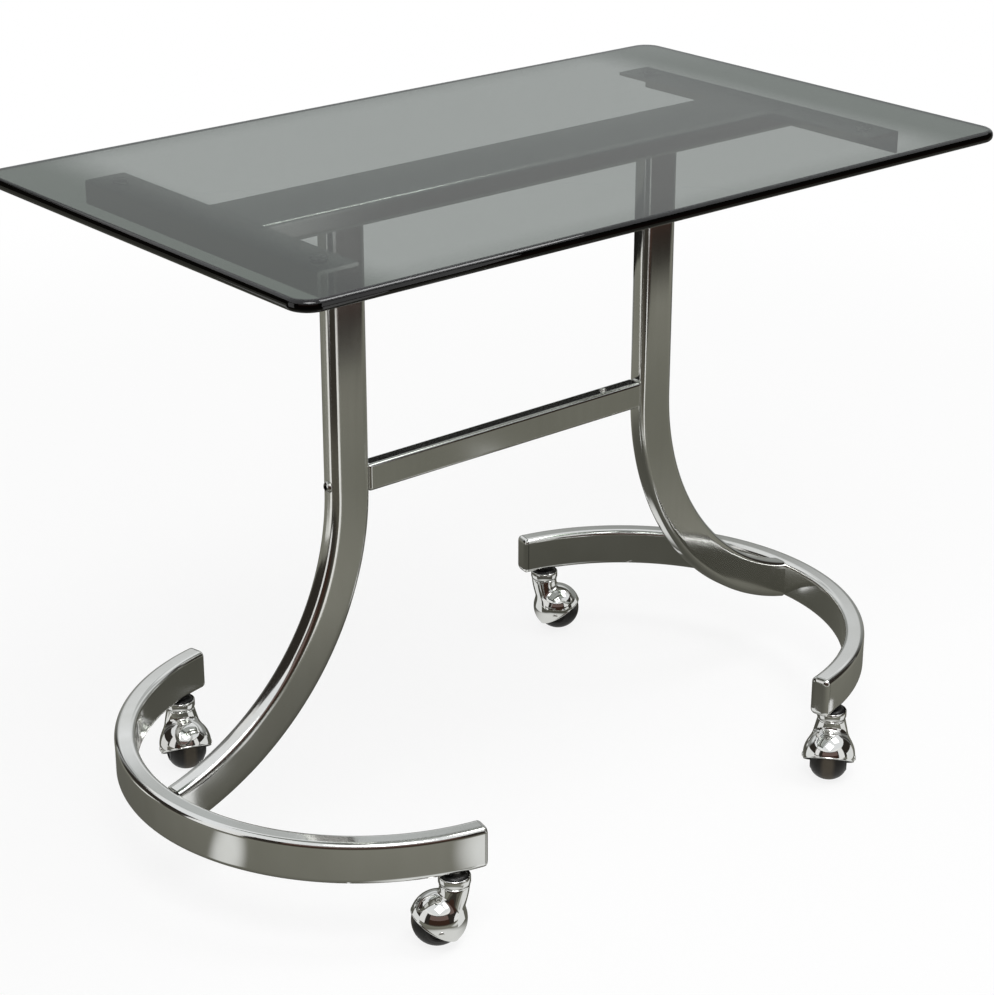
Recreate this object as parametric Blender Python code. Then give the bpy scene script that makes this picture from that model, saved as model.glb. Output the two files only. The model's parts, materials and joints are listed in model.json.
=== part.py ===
"""Rolling side table.

A smoked glass top lies on two chromed angle bars with a wide flat tube between them. Two J-shaped legs
carry it, joined by a flat stretcher bar. Each leg butts into the middle of a C-shaped foot, and each foot end
stands on a hooded ball caster.
Metres, +Z up, +X along the table's length, -Y towards its front. The floor is z = 0 under the table's middle.
"""
import math

import bmesh
import bpy
from mathutils import Matrix, Vector

# Fits
CLEARANCE = 0.0003

# Glass top
TABLE_HEIGHT = 0.597
GLASS_LENGTH = 0.762
GLASS_WIDTH = 0.456
GLASS_THICKNESS = 0.010
GLASS_CORNER_RADIUS = 0.020
GLASS_EDGE_RADIUS = 0.0042
PAD_DIAMETER = 0.014
PAD_THICKNESS = 0.0015
PAD_INSET = 0.024

# Top frame: two crossbars of angle bar, open below and at their ends, and a wide tube between them
BAR_HEIGHT = 0.020
CROSSBAR_WIDTH = 0.038
CROSSBAR_THICKNESS = 0.003
CROSSBAR_EDGE_RADIUS = 0.0016
RAIL_WIDTH = 0.076
RAIL_CORNER_RADIUS = 0.004
RAIL_WALL = 0.0015
GLASS_END_OVERHANG = 0.062
GLASS_SIDE_OVERHANG = 0.0665

# Bent tube of the legs and feet
TUBE_WIDTH = 0.038
TUBE_DEPTH = 0.019
TUBE_CORNER_RADIUS = 0.005
TUBE_WALL = 0.0015

# Legs
LEG_SPACING = 0.356
LEG_BEND_RADIUS = 0.253

# Stretcher and its fasteners
STRETCHER_HEIGHT = 0.025
STRETCHER_DEPTH = 0.010
STRETCHER_EDGE_RADIUS = 0.003
STRETCHER_RISE = 0.0055
BOLT_DIAMETER = 0.006
BOLT_GRIP = 0.016
BOLT_HEAD_DIAMETER = 0.0105
BOLT_HEAD_HEIGHT = 0.0033
BOLT_KEY_WIDTH = 0.004
BOLT_KEY_DEPTH = 0.002
SCREW_DIAMETER = 0.0032
SCREW_LENGTH = 0.008
SCREW_HEAD_DIAMETER = 0.0062
SCREW_HEAD_HEIGHT = 0.0022
SCREW_FROM_LEG = 0.041

# Feet
FOOT_RADIUS = 0.215
FOOT_CENTRE_SPACING = 0.3226
FOOT_HALF_ANGLE = math.radians(78.2)
FOOT_CAP_PLATE = 0.004
FOOT_CAP_EDGE_RADIUS = 0.003
CAP_SPIGOT_LENGTH = 0.006
CAP_SPIGOT_GAP = 0.0006

# Casters
CASTER_ANGLE = math.radians(72.0)
CASTER_HEIGHT = 0.068
CASTER_TRAIL = 0.0135
HOOD_RADIUS = 0.0248
HOOD_WALL = 0.0010
HOOD_TILT = math.radians(28.0)
HOOD_RIM_DROP = 0.0065
NECK_RADIUS = 0.0128
NECK_ROOT_TRAIL = 0.008
NECK_ROOT_HALF_WIDTH = 0.0208
NECK_LIP_RADIUS = 0.0138
NECK_LIP_HEIGHT = 0.0035
NECK_GROOVE_RADIUS = 0.0122
NECK_GROOVE_HEIGHT = 0.0014
NECK_TOP = 0.0605
NECK_FLOOR = 0.0022
WHEEL_RADIUS = 0.022
WHEEL_BALL_RADIUS = 0.0226
WHEEL_WIDTH = 0.034
WHEEL_SIDE_GAP = 0.0005
AXLE_LEAD = 0.0012
AXLE_DROP = 0.0018
AXLE_DIAMETER = 0.005
AXLE_WALL = 0.0018
STEM_DIAMETER = 0.008
SOCKET_DIAMETER = 0.0134
SOCKET_LENGTH = 0.030
STEM_SHORTFALL = 0.002
BEARING_CAP_RADIUS = 0.0120
BEARING_CAP_BRIM = 0.0014
BEARING_CAP_NECK_RADIUS = 0.0072
BEARING_CAP_COVE_HEIGHT = 0.0038
CASTER_HEADINGS = {"front_left": 150.0, "back_left": -110.0, "back_right": -48.0, "front_right": -140.0}

# Facets
CORNER_STEPS = 2
GLASS_CORNER_STEPS = 6
GLASS_EDGE_STEPS = 3
LEG_BEND_STEPS = 12
FOOT_STEPS = 25
ROUND_STEPS = 24
HOOD_STEPS = 20
BALL_STEPS = 10
NECK_STEPS = 4
BEARING_CAP_STEPS = 16
SMALL_ROUND_STEPS = 12
SMOOTH_ANGLE = math.radians(32.0)

# Heights and places that follow from the sizes above
FRAME_TOP = TABLE_HEIGHT - GLASS_THICKNESS - PAD_THICKNESS - 2 * CLEARANCE
FRAME_UNDERSIDE = FRAME_TOP - BAR_HEIGHT
CROSSBAR_X = GLASS_LENGTH / 2 - GLASS_END_OVERHANG - CROSSBAR_WIDTH / 2
CROSSBAR_LENGTH = GLASS_WIDTH - 2 * GLASS_SIDE_OVERHANG
FOOT_MIDDLE = CASTER_HEIGHT + TUBE_WIDTH / 2
FOOT_X = FOOT_CENTRE_SPACING / 2
LEG_X = LEG_SPACING / 2
FOOT_INNER_FLAT = (FOOT_RADIUS - TUBE_DEPTH / 2) * math.cos(FOOT_HALF_ANGLE / FOOT_STEPS)
LEG_END_X = FOOT_X + FOOT_INNER_FLAT - CLEARANCE
LEG_REACH = LEG_END_X - LEG_X
LEG_BEND_ANGLE = math.acos(max(1 - LEG_REACH / LEG_BEND_RADIUS, 0.0))
LEG_BEND_START = FOOT_MIDDLE + LEG_BEND_RADIUS * math.sin(LEG_BEND_ANGLE)
STRETCHER_MIDDLE = LEG_BEND_START + STRETCHER_RISE
STRETCHER_END_X = LEG_X - TUBE_WIDTH / 2 - CLEARANCE
BOLT_SEAT_X = LEG_X + TUBE_WIDTH / 2 + CLEARANCE
AXLE_HEIGHT = WHEEL_RADIUS
BALL_HEIGHT = AXLE_HEIGHT + AXLE_DROP
CAVITY_RADIUS = HOOD_RADIUS - HOOD_WALL
CAVITY_HALF_WIDTH = WHEEL_WIDTH / 2 + WHEEL_SIDE_GAP
STEM_BORE_FLOOR = BALL_HEIGHT + math.sqrt(CAVITY_RADIUS ** 2 - CASTER_TRAIL ** 2) + NECK_FLOOR
AXLE_HALF_LENGTH = math.sqrt(HOOD_RADIUS ** 2 - AXLE_LEAD ** 2 - AXLE_DROP ** 2) - AXLE_WALL

SIDES = {"right": 1, "left": -1}
ENDS = {"front": -1, "back": 1}


def clear_scene():
    """Remove whatever objects the scene starts with."""
    for old in list(bpy.data.objects):
        bpy.data.objects.remove(old, do_unlink=True)


def make_material(name, colour, roughness, metallic=0.0, transmission=0.0):
    """One plain finish as a Principled BSDF."""
    material = bpy.data.materials.new(name)
    material.use_nodes = True
    shader = material.node_tree.nodes["Principled BSDF"]
    shader.inputs["Base Color"].default_value = (*colour, 1.0)
    shader.inputs["Roughness"].default_value = roughness
    shader.inputs["Metallic"].default_value = metallic
    shader.inputs["Transmission Weight"].default_value = transmission
    return material


def finished_mesh(name, bm):
    """Turn a bmesh into a mesh with outward normals, smooth where it is round."""
    bmesh.ops.recalc_face_normals(bm, faces=bm.faces)
    mesh = bpy.data.meshes.new(name)
    bm.to_mesh(mesh)
    bm.free()
    mesh.shade_smooth()
    mesh.set_sharp_from_angle(angle=SMOOTH_ANGLE)
    return mesh


def place(name, mesh, material, location=(0.0, 0.0, 0.0), turn=0.0, parent=None):
    """Add one piece, turned about Z, with its own copy of a finish."""
    piece = bpy.data.objects.new(name, mesh.copy())
    own = material.copy()
    own.name = name + "_finish"
    piece.data.materials.append(own)
    piece.location = location
    piece.rotation_euler = (0.0, 0.0, turn)
    piece.parent = parent
    bpy.context.scene.collection.objects.link(piece)
    return piece


def carve(mesh, tools, operation="DIFFERENCE"):
    """Combine a mesh with tool meshes by exact Booleans and return the evaluated result."""
    blank = bpy.data.objects.new("blank", mesh)
    bpy.context.scene.collection.objects.link(blank)
    cutters = []
    for tool in tools:
        cutter = bpy.data.objects.new("cutter", tool)
        cutter.hide_render = True
        cutter.display_type = "WIRE"
        bpy.context.scene.collection.objects.link(cutter)
        cut = blank.modifiers.new("cut", "BOOLEAN")
        cut.operation = operation
        cut.solver = "EXACT"
        cut.object = cutter
        cutters.append(cutter)
    bpy.context.view_layer.update()
    evaluated = blank.evaluated_get(bpy.context.evaluated_depsgraph_get())
    result = bpy.data.meshes.new_from_object(evaluated)
    for used in [blank, *cutters]:
        bpy.data.objects.remove(used, do_unlink=True)
    result.shade_smooth()
    result.set_sharp_from_angle(angle=SMOOTH_ANGLE)
    return result


def rounded_outline(width, height, radius, steps):
    """Points of a rounded rectangle about its centre, counter-clockwise."""
    points = []
    for quarter, (sx, sy) in enumerate(((1, 1), (-1, 1), (-1, -1), (1, -1))):
        cx = sx * (width / 2 - radius)
        cy = sy * (height / 2 - radius)
        for step in range(steps + 1):
            angle = math.pi / 2 * (quarter + step / steps)
            points.append((cx + radius * math.cos(angle), cy + radius * math.sin(angle)))
    return points


def skin(bm, rings):
    """Join successive rings of vertices with quads and return the rings."""
    laid = [[bm.verts.new(point) for point in ring] for ring in rings]
    for low, high in zip(laid, laid[1:]):
        for i in range(len(low)):
            j = (i + 1) % len(low)
            bm.faces.new((low[i], low[j], high[j], high[i]))
    return laid


def solid_loft(name, rings):
    """A solid through rings of points, with flat ends."""
    bm = bmesh.new()
    laid = skin(bm, rings)
    bm.faces.new(laid[0])
    bm.faces.new(laid[-1])
    return finished_mesh(name, bm)


def open_tube(name, outer_rings, inner_rings):
    """A tube with a wall between two lofts of as many points, open at both ends."""
    bm = bmesh.new()
    outer = skin(bm, outer_rings)
    inner = skin(bm, inner_rings)
    for end in (0, -1):
        for i in range(len(outer[end])):
            j = (i + 1) % len(outer[end])
            bm.faces.new((outer[end][i], outer[end][j], inner[end][j], inner[end][i]))
    return finished_mesh(name, bm)


def turned(name, profile, steps=ROUND_STEPS, half_step=False):
    """Spin a profile of (radius, height) points about Z."""
    bm = bmesh.new()
    verts = [bm.verts.new((radius, 0.0, height)) for radius, height in profile]
    edges = [bm.edges.new(pair) for pair in zip(verts, verts[1:])]
    bmesh.ops.spin(bm, geom=verts + edges, axis=(0, 0, 1), cent=(0, 0, 0), angle=2 * math.pi, steps=steps)
    bmesh.ops.remove_doubles(bm, verts=bm.verts, dist=1e-6)
    if half_step:
        bmesh.ops.rotate(bm, verts=bm.verts, cent=(0, 0, 0), matrix=Matrix.Rotation(math.pi / steps, 3, "Z"))
    return finished_mesh(name, bm)


def rod(name, radius, low, high, steps=SMALL_ROUND_STEPS):
    """A plain round bar along Z."""
    return turned(name, [(0.0, low), (radius, low), (radius, high), (0.0, high)], steps)


def moved(mesh, *matrices):
    """Apply transforms to a mesh, the first one first."""
    for matrix in matrices:
        mesh.transform(matrix)
    return mesh


def arc(radius, start, end, steps):
    """Points of an arc about the origin, from one angle to another."""
    angles = [start + (end - start) * step / steps for step in range(steps + 1)]
    return [(radius * math.cos(angle), radius * math.sin(angle)) for angle in angles]


def inner_corner(corner, wall):
    """Corner radius inside a tube."""
    return max(corner - wall, wall / 2)


def tube_sections(width, depth, corner, wall):
    """Outer and inner outline of a tube, with as many points each."""
    outer = rounded_outline(width, depth, corner, CORNER_STEPS)
    inner = rounded_outline(width - 2 * wall, depth - 2 * wall, inner_corner(corner, wall), CORNER_STEPS)
    return outer, inner


def glass_mesh():
    """A plate with rounded corners in plan and a polished, rounded edge all round."""
    half = GLASS_THICKNESS / 2
    edge = []
    for level, start in ((-half + GLASS_EDGE_RADIUS, -math.pi / 2), (half - GLASS_EDGE_RADIUS, 0.0)):
        for reach, rise in arc(GLASS_EDGE_RADIUS, start, start + math.pi / 2, GLASS_EDGE_STEPS):
            edge.append((GLASS_EDGE_RADIUS - reach, level + rise))
    rings = []
    for inset, level in edge:
        outline = rounded_outline(GLASS_LENGTH - 2 * inset, GLASS_WIDTH - 2 * inset,
                                  GLASS_CORNER_RADIUS - inset, GLASS_CORNER_STEPS)
        rings.append([(x, y, level) for x, y in outline])
    return solid_loft("glass_top", rings)


def block(name, low, high):
    """A plain box between two corners."""
    (x0, y0, z0), (x1, y1, z1) = low, high
    return solid_loft(name, [[(x0, y0, z), (x1, y0, z), (x1, y1, z), (x0, y1, z)] for z in (z0, z1)])


def crossbar_mesh():
    """An angle bar along Y: a flat plate under the glass and a flange down its +X edge."""
    half = CROSSBAR_WIDTH / 2
    web = half - CROSSBAR_THICKNESS
    outline = [(-half, 0.0), (-half, -CROSSBAR_THICKNESS), (web, -CROSSBAR_THICKNESS), (web, -BAR_HEIGHT),
               (half, -BAR_HEIGHT)]
    for x, z in arc(CROSSBAR_EDGE_RADIUS, 0.0, math.pi / 2, CORNER_STEPS):
        outline.append((half - CROSSBAR_EDGE_RADIUS + x, z - CROSSBAR_EDGE_RADIUS))
    ends = (-CROSSBAR_LENGTH / 2, CROSSBAR_LENGTH / 2)
    return solid_loft("crossbar", [[(x, y, z) for x, z in outline] for y in ends])


def rail_mesh():
    """A wide flat tube along Y. It ends at the flanges, and is notched for the plates of the crossbars."""
    half = CROSSBAR_X + CROSSBAR_WIDTH / 2 - CROSSBAR_THICKNESS - CLEARANCE
    notch = CROSSBAR_X - CROSSBAR_WIDTH / 2 - CLEARANCE
    floor = -CROSSBAR_THICKNESS - CLEARANCE
    tubes = []
    for outline in tube_sections(RAIL_WIDTH, BAR_HEIGHT, RAIL_CORNER_RADIUS, RAIL_WALL):
        tubes.append([[(x, y, z - BAR_HEIGHT / 2) for x, z in outline] for y in (-half, half)])
    cuts = [block("notch", (-RAIL_WIDTH, y, floor), (RAIL_WIDTH, y + CROSSBAR_WIDTH, BAR_HEIGHT))
            for y in (notch, -notch - CROSSBAR_WIDTH)]
    return carve(open_tube("rail", *tubes), cuts)


def cap_mesh(name, width, height, corner, wall, plate, edge):
    """A plug for a tube end: a plate with a rounded rim, and a spigot that fits the tube. Outwards is +Y."""
    rings = []
    fit = 2 * (wall + CAP_SPIGOT_GAP)
    for y in (-CAP_SPIGOT_LENGTH, 0.0):
        outline = rounded_outline(width - fit, height - fit, inner_corner(corner, wall), CORNER_STEPS)
        rings.append([(x, y, z) for x, z in outline])
    for reach, rise in [(edge, edge - plate), *arc(edge, 0.0, math.pi / 2, CORNER_STEPS)]:
        inset = 2 * (edge - reach)
        radius = max(corner - inset / 2, edge / 2)
        outline = rounded_outline(width - inset, height - inset, radius, CORNER_STEPS)
        rings.append([(x, plate - edge + rise, z) for x, z in outline])
    return solid_loft(name, rings)


def leg_mesh():
    """The right leg: straight down, bent outwards in one arc, and cut upright where it meets the foot."""
    stations = [(0.0, FRAME_UNDERSIDE - CLEARANCE - LEG_BEND_START)]
    stations += [(LEG_BEND_ANGLE * step / LEG_BEND_STEPS, 0.0) for step in range(LEG_BEND_STEPS + 1)]
    tubes = []
    for outline in tube_sections(TUBE_WIDTH, TUBE_DEPTH, TUBE_CORNER_RADIUS, TUBE_WALL):
        rings = []
        for angle, above in stations:
            x = LEG_X + LEG_BEND_RADIUS * (1 - math.cos(angle))
            z = LEG_BEND_START - LEG_BEND_RADIUS * math.sin(angle) + above
            rings.append([Vector((x - u * math.cos(angle), y, z - u * math.sin(angle))) for u, y in outline])
        onward = Vector((math.sin(LEG_BEND_ANGLE), 0.0, -math.cos(LEG_BEND_ANGLE)))
        rings.append([point + onward * ((LEG_END_X - point.x) / onward.x) for point in rings.pop()])
        tubes.append(rings)
    hole = rod("bolt_hole", BOLT_DIAMETER / 2 + CLEARANCE, 0.0, LEG_X + 2 * TUBE_WIDTH)
    moved(hole, Matrix.Rotation(math.pi / 2, 4, "Y"), Matrix.Translation((0.0, 0.0, STRETCHER_MIDDLE)))
    return carve(open_tube("leg", *tubes), [hole])


def foot_mesh():
    """The right foot: a tube bent to a C about a point inside the table, with a hole for each socket."""
    tubes = []
    for outline in tube_sections(TUBE_DEPTH, TUBE_WIDTH, TUBE_CORNER_RADIUS, TUBE_WALL):
        rings = []
        for step in range(FOOT_STEPS + 1):
            angle = FOOT_HALF_ANGLE * (2 * step / FOOT_STEPS - 1)
            rings.append([(FOOT_X + (FOOT_RADIUS + u) * math.cos(angle),
                           (FOOT_RADIUS + u) * math.sin(angle), FOOT_MIDDLE + z) for u, z in outline])
        tubes.append(rings)
    holes = []
    for end in ENDS.values():
        hole = rod("socket_hole", SOCKET_DIAMETER / 2 + CLEARANCE, 0.0, FOOT_MIDDLE)
        holes.append(moved(hole, Matrix.Translation(caster_place(1, end))))
    return carve(open_tube("foot", *tubes), holes)


def caster_place(side, end):
    """Where a caster's swivel axis meets the floor, on the foot's centre line."""
    x = FOOT_X + FOOT_RADIUS * math.cos(CASTER_ANGLE)
    return (side * x, end * FOOT_RADIUS * math.sin(CASTER_ANGLE), 0.0)


def stretcher_mesh():
    """A flat bar with eased edges, drilled at both ends for the bolts and on top for a small screw."""
    bm = bmesh.new()
    size = (2 * STRETCHER_END_X, STRETCHER_DEPTH, STRETCHER_HEIGHT)
    bmesh.ops.create_cube(bm, size=1.0, matrix=Matrix.Diagonal((*size, 1.0)))
    bmesh.ops.bevel(bm, geom=bm.edges[:], offset=STRETCHER_EDGE_RADIUS, segments=CORNER_STEPS,
                    profile=0.5, affect="EDGES")
    holes = []
    for side in SIDES.values():
        hole = rod("bolt_hole", BOLT_DIAMETER / 2 + CLEARANCE, STRETCHER_END_X - BOLT_GRIP - CLEARANCE, LEG_X)
        holes.append(moved(hole, Matrix.Rotation(side * math.pi / 2, 4, "Y")))
    depth = STRETCHER_HEIGHT / 2 - SCREW_LENGTH - CLEARANCE
    hole = rod("screw_hole", SCREW_DIAMETER / 2 + CLEARANCE, depth, STRETCHER_HEIGHT)
    holes.append(moved(hole, Matrix.Translation((STRETCHER_END_X - SCREW_FROM_LEG, 0.0, 0.0))))
    return carve(finished_mesh("stretcher", bm), holes)


def bolt_mesh():
    """A button-head bolt with a hexagon key recess, head outwards along +Z and its seat at z = 0."""
    shank = BOLT_SEAT_X - STRETCHER_END_X + BOLT_GRIP
    dome = arc(1.0, 0.0, math.pi / 2, CORNER_STEPS + 1)
    head = [(BOLT_HEAD_DIAMETER / 2 * reach, BOLT_HEAD_HEIGHT * rise) for reach, rise in dome[:-1]]
    profile = [(0.0, -shank), (BOLT_DIAMETER / 2, -shank), (BOLT_DIAMETER / 2, 0.0), *head,
               (0.0, BOLT_HEAD_HEIGHT)]
    key_floor = BOLT_HEAD_HEIGHT - BOLT_KEY_DEPTH
    key = rod("key", BOLT_KEY_WIDTH / math.sqrt(3), key_floor, 2 * BOLT_HEAD_HEIGHT, steps=6)
    return carve(turned("bolt", profile, SMALL_ROUND_STEPS), [key])


def screw_mesh():
    """A small round-head screw, head up, with its seat at z = 0."""
    dome = arc(1.0, 0.0, math.pi / 2, CORNER_STEPS)
    head = [(SCREW_HEAD_DIAMETER / 2 * reach, SCREW_HEAD_HEIGHT * rise) for reach, rise in dome[:-1]]
    profile = [(0.0, -SCREW_LENGTH), (SCREW_DIAMETER / 2, -SCREW_LENGTH), (SCREW_DIAMETER / 2, 0.0), *head,
               (0.0, SCREW_HEAD_HEIGHT)]
    return turned("screw", profile, SMALL_ROUND_STEPS)


def neck_mesh():
    """The hood's neck: ovals that slide from inside the ball to the swivel axis and close to a circle there.

    They start wide across the axle, so that the neck's flanks run down onto the ball's.
    A groove and a lip end it.
    """
    top = NECK_TOP - BALL_HEIGHT
    groove = top - NECK_LIP_HEIGHT
    body = groove - NECK_GROOVE_HEIGHT
    ovals = []
    for step in range(NECK_STEPS + 1):
        share = step / NECK_STEPS
        ease = share * share * (3 - 2 * share)
        trail = NECK_ROOT_TRAIL + (CASTER_TRAIL - NECK_ROOT_TRAIL) * ease
        half_length = NECK_GROOVE_RADIUS + (NECK_RADIUS - NECK_GROOVE_RADIUS) * ease
        half_width = NECK_ROOT_HALF_WIDTH + (NECK_RADIUS - NECK_ROOT_HALF_WIDTH) * share
        ovals.append((trail, half_length, half_width, body * share))
    for radius, level in ((NECK_GROOVE_RADIUS, body), (NECK_GROOVE_RADIUS, groove),
                          (NECK_LIP_RADIUS, groove), (NECK_LIP_RADIUS, top)):
        ovals.append((CASTER_TRAIL, radius, radius, level))
    around = arc(1.0, 0.0, 2 * math.pi, HOOD_STEPS)[:-1]
    rings = []
    for trail, half_length, half_width, level in ovals:
        rings.append([(half_length * x - trail, half_width * y, level) for x, y in around])
    return solid_loft("neck", rings)


def hood_mesh():
    """A ball with an offset neck, hollowed for the wheel and cut off below along a tilted plane.

    The origin is the ball's centre. +X is the way that the wheel trails, and the axle runs along Y.
    """
    ball = turned("ball", arc(HOOD_RADIUS, -math.pi / 2, math.pi / 2, BALL_STEPS), HOOD_STEPS)
    body = carve(ball, [neck_mesh()], "UNION")
    lie_along_y = Matrix.Rotation(math.pi / 2, 4, "X")

    side = math.asin(CAVITY_HALF_WIDTH / CAVITY_RADIUS)
    barrel = arc(CAVITY_RADIUS, -side, side, BALL_STEPS)
    cavity = turned("cavity", [(0.0, barrel[0][1]), *barrel, (0.0, barrel[-1][1])])
    moved(cavity, lie_along_y)

    reach = AXLE_HALF_LENGTH + CLEARANCE
    axle_hole = rod("axle_hole", AXLE_DIAMETER / 2 + CLEARANCE, -reach, reach)
    moved(axle_hole, lie_along_y, Matrix.Translation((AXLE_LEAD, 0.0, -AXLE_DROP)))

    bore = rod("stem_bore", STEM_DIAMETER / 2 + CLEARANCE, STEM_BORE_FLOOR - BALL_HEIGHT, NECK_TOP)
    moved(bore, Matrix.Translation((-CASTER_TRAIL, 0.0, 0.0)))

    bm = bmesh.new()
    block = 4 * HOOD_RADIUS
    bmesh.ops.create_cube(bm, size=block, matrix=Matrix.Translation((0.0, 0.0, -block / 2)))
    below_rim = finished_mesh("below_rim", bm)
    moved(below_rim, Matrix.Rotation(-HOOD_TILT, 4, "Y"), Matrix.Translation((0.0, 0.0, -HOOD_RIM_DROP)))
    return carve(body, [cavity, below_rim, axle_hole, bore])


def wheel_mesh():
    """A barrel wheel with a flat tread, its sides rounded to run inside the ball, bored along Y."""
    flat = math.sqrt(WHEEL_BALL_RADIUS ** 2 - WHEEL_RADIUS ** 2)
    side = math.asin(WHEEL_WIDTH / 2 / WHEEL_BALL_RADIUS)
    shoulder = arc(WHEEL_BALL_RADIUS, math.asin(flat / WHEEL_BALL_RADIUS), side, CORNER_STEPS + 1)
    bore = AXLE_DIAMETER / 2 + CLEARANCE
    lower = [(radius, -y) for radius, y in reversed(shoulder)]
    profile = [(bore, -WHEEL_WIDTH / 2), *lower, *shoulder, (bore, WHEEL_WIDTH / 2), (bore, -WHEEL_WIDTH / 2)]
    across_flats = 1 / math.cos(math.pi / ROUND_STEPS)
    profile = [(radius * across_flats if radius > bore else radius, y) for radius, y in profile]
    return moved(turned("wheel", profile, half_step=True), Matrix.Rotation(math.pi / 2, 4, "X"))


def axle_mesh():
    """A plain pin along Y."""
    pin = rod("axle", AXLE_DIAMETER / 2, -AXLE_HALF_LENGTH, AXLE_HALF_LENGTH)
    return moved(pin, Matrix.Rotation(math.pi / 2, 4, "X"))


def bearing_cap_mesh():
    """The dark cap between the neck and the foot: a brim over the neck, drawn in to a collar at the foot."""
    low = NECK_TOP + CLEARANCE
    high = CASTER_HEIGHT - CLEARANCE
    brim = low + BEARING_CAP_BRIM
    bore = STEM_DIAMETER / 2 + CLEARANCE
    drop = BEARING_CAP_RADIUS - BEARING_CAP_NECK_RADIUS
    rise = min(BEARING_CAP_COVE_HEIGHT, high - brim - CLEARANCE)
    cove = [(BEARING_CAP_RADIUS - drop * (1 - reach), brim + rise * up)
            for reach, up in arc(1.0, 0.0, math.pi / 2, CORNER_STEPS + 1)]
    profile = [(bore, low), (BEARING_CAP_RADIUS, low), *cove, (BEARING_CAP_NECK_RADIUS, high), (bore, high),
               (bore, low)]
    return turned("bearing_cap", profile, BEARING_CAP_STEPS)


def socket_mesh():
    """A sleeve held in the foot tube, open at both ends."""
    bore = STEM_DIAMETER / 2 + CLEARANCE
    outside = SOCKET_DIAMETER / 2
    top = CASTER_HEIGHT + SOCKET_LENGTH
    return turned("socket", [(bore, CASTER_HEIGHT), (outside, CASTER_HEIGHT), (outside, top), (bore, top),
                             (bore, CASTER_HEIGHT)], SMALL_ROUND_STEPS)


def stem_mesh():
    """The caster's upright pin, from the bottom of the neck's bore to inside the socket."""
    top = CASTER_HEIGHT + SOCKET_LENGTH - STEM_SHORTFALL
    return rod("stem", STEM_DIAMETER / 2, STEM_BORE_FLOOR + CLEARANCE, top)


def build_top(glass, chrome, clear_plastic):
    """The glass, its pads and the H-shaped frame under it."""
    place("glass_top", glass_mesh(), glass, (0.0, 0.0, TABLE_HEIGHT - GLASS_THICKNESS / 2))
    pad = rod("pad", PAD_DIAMETER / 2, 0.0, PAD_THICKNESS)
    crossbar = crossbar_mesh()
    for side_name, side in SIDES.items():
        x = side * CROSSBAR_X
        place("crossbar_" + side_name, crossbar, chrome, (x, 0.0, FRAME_TOP), 0.0 if side > 0 else math.pi)
        for end_name, end in ENDS.items():
            pad_y = end * (CROSSBAR_LENGTH / 2 - PAD_INSET)
            pad_place = (x, pad_y, FRAME_TOP + CLEARANCE)
            place("glass_pad_" + end_name + "_" + side_name, pad, clear_plastic, pad_place)
    place("rail", rail_mesh(), chrome, (0.0, 0.0, FRAME_TOP), math.pi / 2)


def build_legs(chrome, steel):
    """The legs, the stretcher between them and its fasteners."""
    leg = leg_mesh()
    bolt = moved(bolt_mesh(), Matrix.Rotation(math.pi / 2, 4, "Y"))
    for side_name, side in SIDES.items():
        turn = 0.0 if side > 0 else math.pi
        place("leg_" + side_name, leg, chrome, turn=turn)
        place("stretcher_bolt_" + side_name, bolt, steel, (side * BOLT_SEAT_X, 0.0, STRETCHER_MIDDLE), turn)
    place("stretcher", stretcher_mesh(), chrome, (0.0, 0.0, STRETCHER_MIDDLE))
    screw_seat = (STRETCHER_END_X - SCREW_FROM_LEG, 0.0, STRETCHER_MIDDLE + STRETCHER_HEIGHT / 2 + CLEARANCE)
    place("stretcher_screw", screw_mesh(), steel, screw_seat)


def build_feet(chrome):
    """The two C-shaped feet and the plugs in their ends."""
    foot = foot_mesh()
    cap = cap_mesh("foot_cap", TUBE_DEPTH, TUBE_WIDTH, TUBE_CORNER_RADIUS, TUBE_WALL,
                   FOOT_CAP_PLATE, FOOT_CAP_EDGE_RADIUS)
    for side_name, side in SIDES.items():
        turn = 0.0 if side > 0 else math.pi
        place("foot_" + side_name, foot, chrome, turn=turn)
        for end_name, end in ENDS.items():
            middle = Vector((FOOT_X + FOOT_RADIUS * math.cos(FOOT_HALF_ANGLE),
                             end * FOOT_RADIUS * math.sin(FOOT_HALF_ANGLE), FOOT_MIDDLE))
            outward = Vector((-math.sin(FOOT_HALF_ANGLE), end * math.cos(FOOT_HALF_ANGLE), 0.0))
            seat = middle + outward * CLEARANCE
            seat.x *= side
            outward.x *= side
            place("foot_cap_" + end_name + "_" + side_name, cap, chrome, seat,
                  math.atan2(outward.y, outward.x) - math.pi / 2)


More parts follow.
